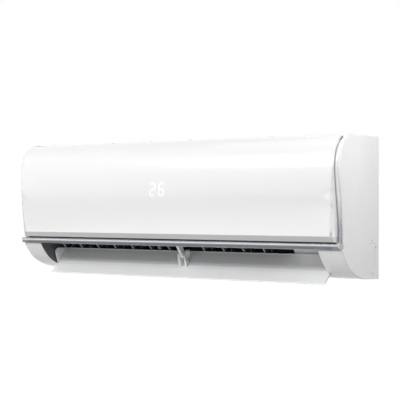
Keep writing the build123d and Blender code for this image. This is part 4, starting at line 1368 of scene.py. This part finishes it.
@dataclass
class AirOutlet:
    """Swing flap, vanes and tie bars, with the tray above them."""

    finishes: Finishes
    left_vanes: int = 7
    right_vanes: int = 4

    def build(self) -> None:
        """Dress the outlet's parts and add the flap's collar."""
        finishes = self.finishes
        dress(finishes.flap, "swing_flap", "flap_arm")
        dress(finishes.zinc, "flap_motor")
        dress(finishes.grey, "drip_tray", "drain_spigot")
        dress(finishes.vane, "tie_bar_left", "tie_bar_right")
        dress(finishes.vanes_left, *(f"vane_left_{number + 1}" for number in range(self.left_vanes)))
        dress(finishes.vanes_right, *(f"vane_right_{number + 1}" for number in range(self.right_vanes)))
        HexCollar("flap_hinge_collar", finishes.clear, "smoked_lens", "swing_flap").build()


@dataclass
class FanDrive:
    """Cross-flow fan, its bearing and its motor."""

    finishes: Finishes

    def build(self) -> None:
        """Dress the fan and what carries it."""
        dress(self.finishes.black, "cross_flow_fan")
        dress(self.finishes.steel, "fan_shafts")
        dress(self.finishes.rubber, "fan_bearing", "motor_rings")
        dress(self.finishes.motor, "fan_motor")


@dataclass
class CoilAndPipes:
    """Evaporator and the pipes that leave it."""

    finishes: Finishes

    def build(self) -> None:
        """Dress the coil, tubes and unions."""
        dress(self.finishes.fins, "fin_packs")
        dress(self.finishes.zinc, "tube_sheets")
        dress(self.finishes.copper, "return_bends", "gas_pipe", "liquid_pipe")
        dress(self.finishes.brass, "gas_union", "liquid_union")
        dress(self.finishes.grey, "pipe_clamp")


@dataclass
class Filters:
    """The two air filters behind the panel."""

    finishes: Finishes

    def build(self) -> None:
        """Dress both filters."""
        dress(self.finishes.filter, "air_filter_left", "air_filter_right")


@dataclass
class Electrics:
    """Control box with its board and terminals."""

    finishes: Finishes
    lid_face: float = -170.0 * MM
    screws: tuple[Pair, ...] = ((340, 102), (378, 102), (340, -42), (378, -42))
    screw_size: float = 0.8

    def build(self) -> None:
        """Dress the box and add the screws of its lid."""
        dress(self.finishes.box, "control_box", "terminal_block")
        dress(self.finishes.zinc, "control_box_lid")
        dress(self.finishes.main_board, "control_board")
        PanScrews(
            "lid_screws",
            self.finishes.steel,
            "bright_steel",
            places=[(x * MM, self.lid_face, z * MM) for x, z in self.screws],
            facing=(0, -1, 0),
            size=self.screw_size,
        ).build()


# ---- studio
@dataclass(frozen=True)
class Softbox:
    """One soft lamp."""

    name: str
    place: Point
    target: Point
    size: Pair
    power: float

    def build(self) -> None:
        """Make the lamp and aim it."""
        lamp = bpy.data.lights.new(self.name, "AREA")
        lamp.shape = "RECTANGLE"
        lamp.size, lamp.size_y = self.size
        lamp.energy = self.power
        holder = linked(self.name, lamp)
        aim = (Vector(self.target) - Vector(self.place)).to_track_quat("-Z", "Y")
        holder.matrix_world = Matrix.Translation(self.place) @ aim.to_matrix().to_4x4()


@dataclass
class Studio:
    """Pale floor and backdrop, soft light, and the camera at the photographed angle."""

    floor_height: float = -0.95
    floor_size: float = 60.0
    floor_tones: tuple[Point, Point] = ((0.80, 0.80, 0.80), (0.83, 0.83, 0.83))
    floor_glow: float = 0.75
    floor_white: float = 1.25
    # painted shadow: the glow seen in reflections is dim close under the unit
    under: Ramp = (1.2, 2.8, 0.15, 1.0)
    # painted pool of light that fades to a painted dark band, seen in reflections
    pool: Ramp = (5.2, 7.0, 2.2, 0.10)
    far: Ramp = (9.0, 16.0, 0.0, 0.75)
    surround: float = 0.52
    horizon: Ramp = (-0.02, 0.16, 0.92, 1.0)
    zenith: Ramp = (0.55, 0.95, 1.0, 0.55)
    eye: Point = (1.2026, -1.9384, -0.0034)
    look: Point = (-0.5372, 0.8434, 0.0090)
    roll: float = 0.10
    lens: float = 90.93
    lamps: tuple[Softbox, ...] = (
        Softbox("key", (-0.5, -2.1, 1.2), (0.0, -0.1, 0.0), (1.4, 0.55), 29.5),
        Softbox("right_fill", (0.74, -0.20, 0.30), (0.4, -0.1, 0.06), (0.2, 0.2), 0.95),
        Softbox("top", (0.0, -0.3, 2.2), (0.0, -0.1, 0.0), (2.4, 1.2), 3.0),
    )

    def _backdrop(self) -> None:
        """Floor far below the unit, pale with soft clouds."""
        deselect()
        bpy.ops.mesh.primitive_plane_add(size=self.floor_size, location=(0, 0, self.floor_height))
        floor = bpy.context.object
        floor.name = "studio_floor"
        graph = Surface("studio_floor")
        cloud = graph.noise(0.8, 2.0)
        graph.finished(Base_Color=graph.mixed(cloud.ranged(*CLOUD), *self.floor_tones), Roughness=0.7)
        self._lit_floor(graph)
        floor.data.materials.append(graph.owner)

    def _lit_floor(self, graph: Surface) -> None:
        """Let the floor show white to the camera, and in reflections a painted pool of light with painted
        shade.

        Args:
            graph: The floor's material. A quarter of its shading stays, with the unit's shadow.
        """
        camera, mirror, clear = graph.rays()
        distance = graph.node("ShaderNodeVectorMath", {"operation": "LENGTH"}, {0: graph.place}, "Value")
        pool = distance.ranged(*self.under) * distance.ranged(*self.pool) + distance.ranged(*self.far)
        strength = camera * self.floor_white + (1.0 - camera) * pool
        glow = graph.node("ShaderNodeEmission", {}, {"Color": WHITE, "Strength": strength})
        share = camera.larger(mirror).larger(clear) * self.floor_glow
        shaded = Signal(graph, graph.shader.outputs[0])
        mix = graph.node("ShaderNodeMixShader", {}, {0: share, 1: shaded, 2: glow})
        graph.feed(graph.output.inputs["Surface"], mix)

    def _world(self) -> None:
        """Surroundings: white to the camera, with a soft horizon in reflections, and grey as light."""
        world = bpy.data.worlds.new("studio")
        bpy.context.scene.world = world
        graph = Graph(world)
        camera, mirror, clear = graph.rays()
        direction = graph.node("ShaderNodeTexCoord", {}, {}, "Generated")
        height = graph.node("ShaderNodeSeparateXYZ", {}, {0: direction}, "Z")
        seen = mirror.larger(clear)
        mirrored = height.ranged(*self.horizon) * height.ranged(*self.zenith)
        strength = camera + (1.0 - camera) * (seen * mirrored + (1.0 - seen) * self.surround)
        sky = graph.node("ShaderNodeBackground", {}, {"Color": WHITE, "Strength": strength})
        graph.feed(graph.tree.nodes.new("ShaderNodeOutputWorld").inputs["Surface"], sky)

    def _camera(self) -> None:
        """Camera where the photographer stood."""
        camera = bpy.data.cameras.new("camera")
        camera.lens = self.lens
        camera.sensor_width = 36.0
        camera.sensor_fit = "HORIZONTAL"
        holder = linked("camera", camera)
        turn = Vector(self.look).to_track_quat("-Z", "Y").to_matrix().to_4x4()
        roll = Matrix.Rotation(math.radians(self.roll), 4, "Z")
        holder.matrix_world = Matrix.Translation(self.eye) @ turn @ roll
        bpy.context.scene.camera = holder

    def build(self) -> None:
        """Set up the studio."""
        self._backdrop()
        self._world()
        self._camera()
        for lamp in self.lamps:
            lamp.build()
        bpy.context.scene.view_settings.view_transform = "Standard"


def main() -> None:
    """Build the sub-assemblies in order, then the studio, and note the sizes."""
    logging.basicConfig(level=logging.INFO, format="%(name)s: %(message)s")
    deselect()
    finishes = Finishes()
    assemblies = WallPlate, CabinetShell, FrontPanel, AirOutlet, FanDrive, CoilAndPipes, Filters, Electrics
    for assembly in assemblies:
        log.info("building %s", assembly.__name__)
        assembly(finishes).build()
    Studio().build()
    deselect()


if __name__ == "__main__":
    main()
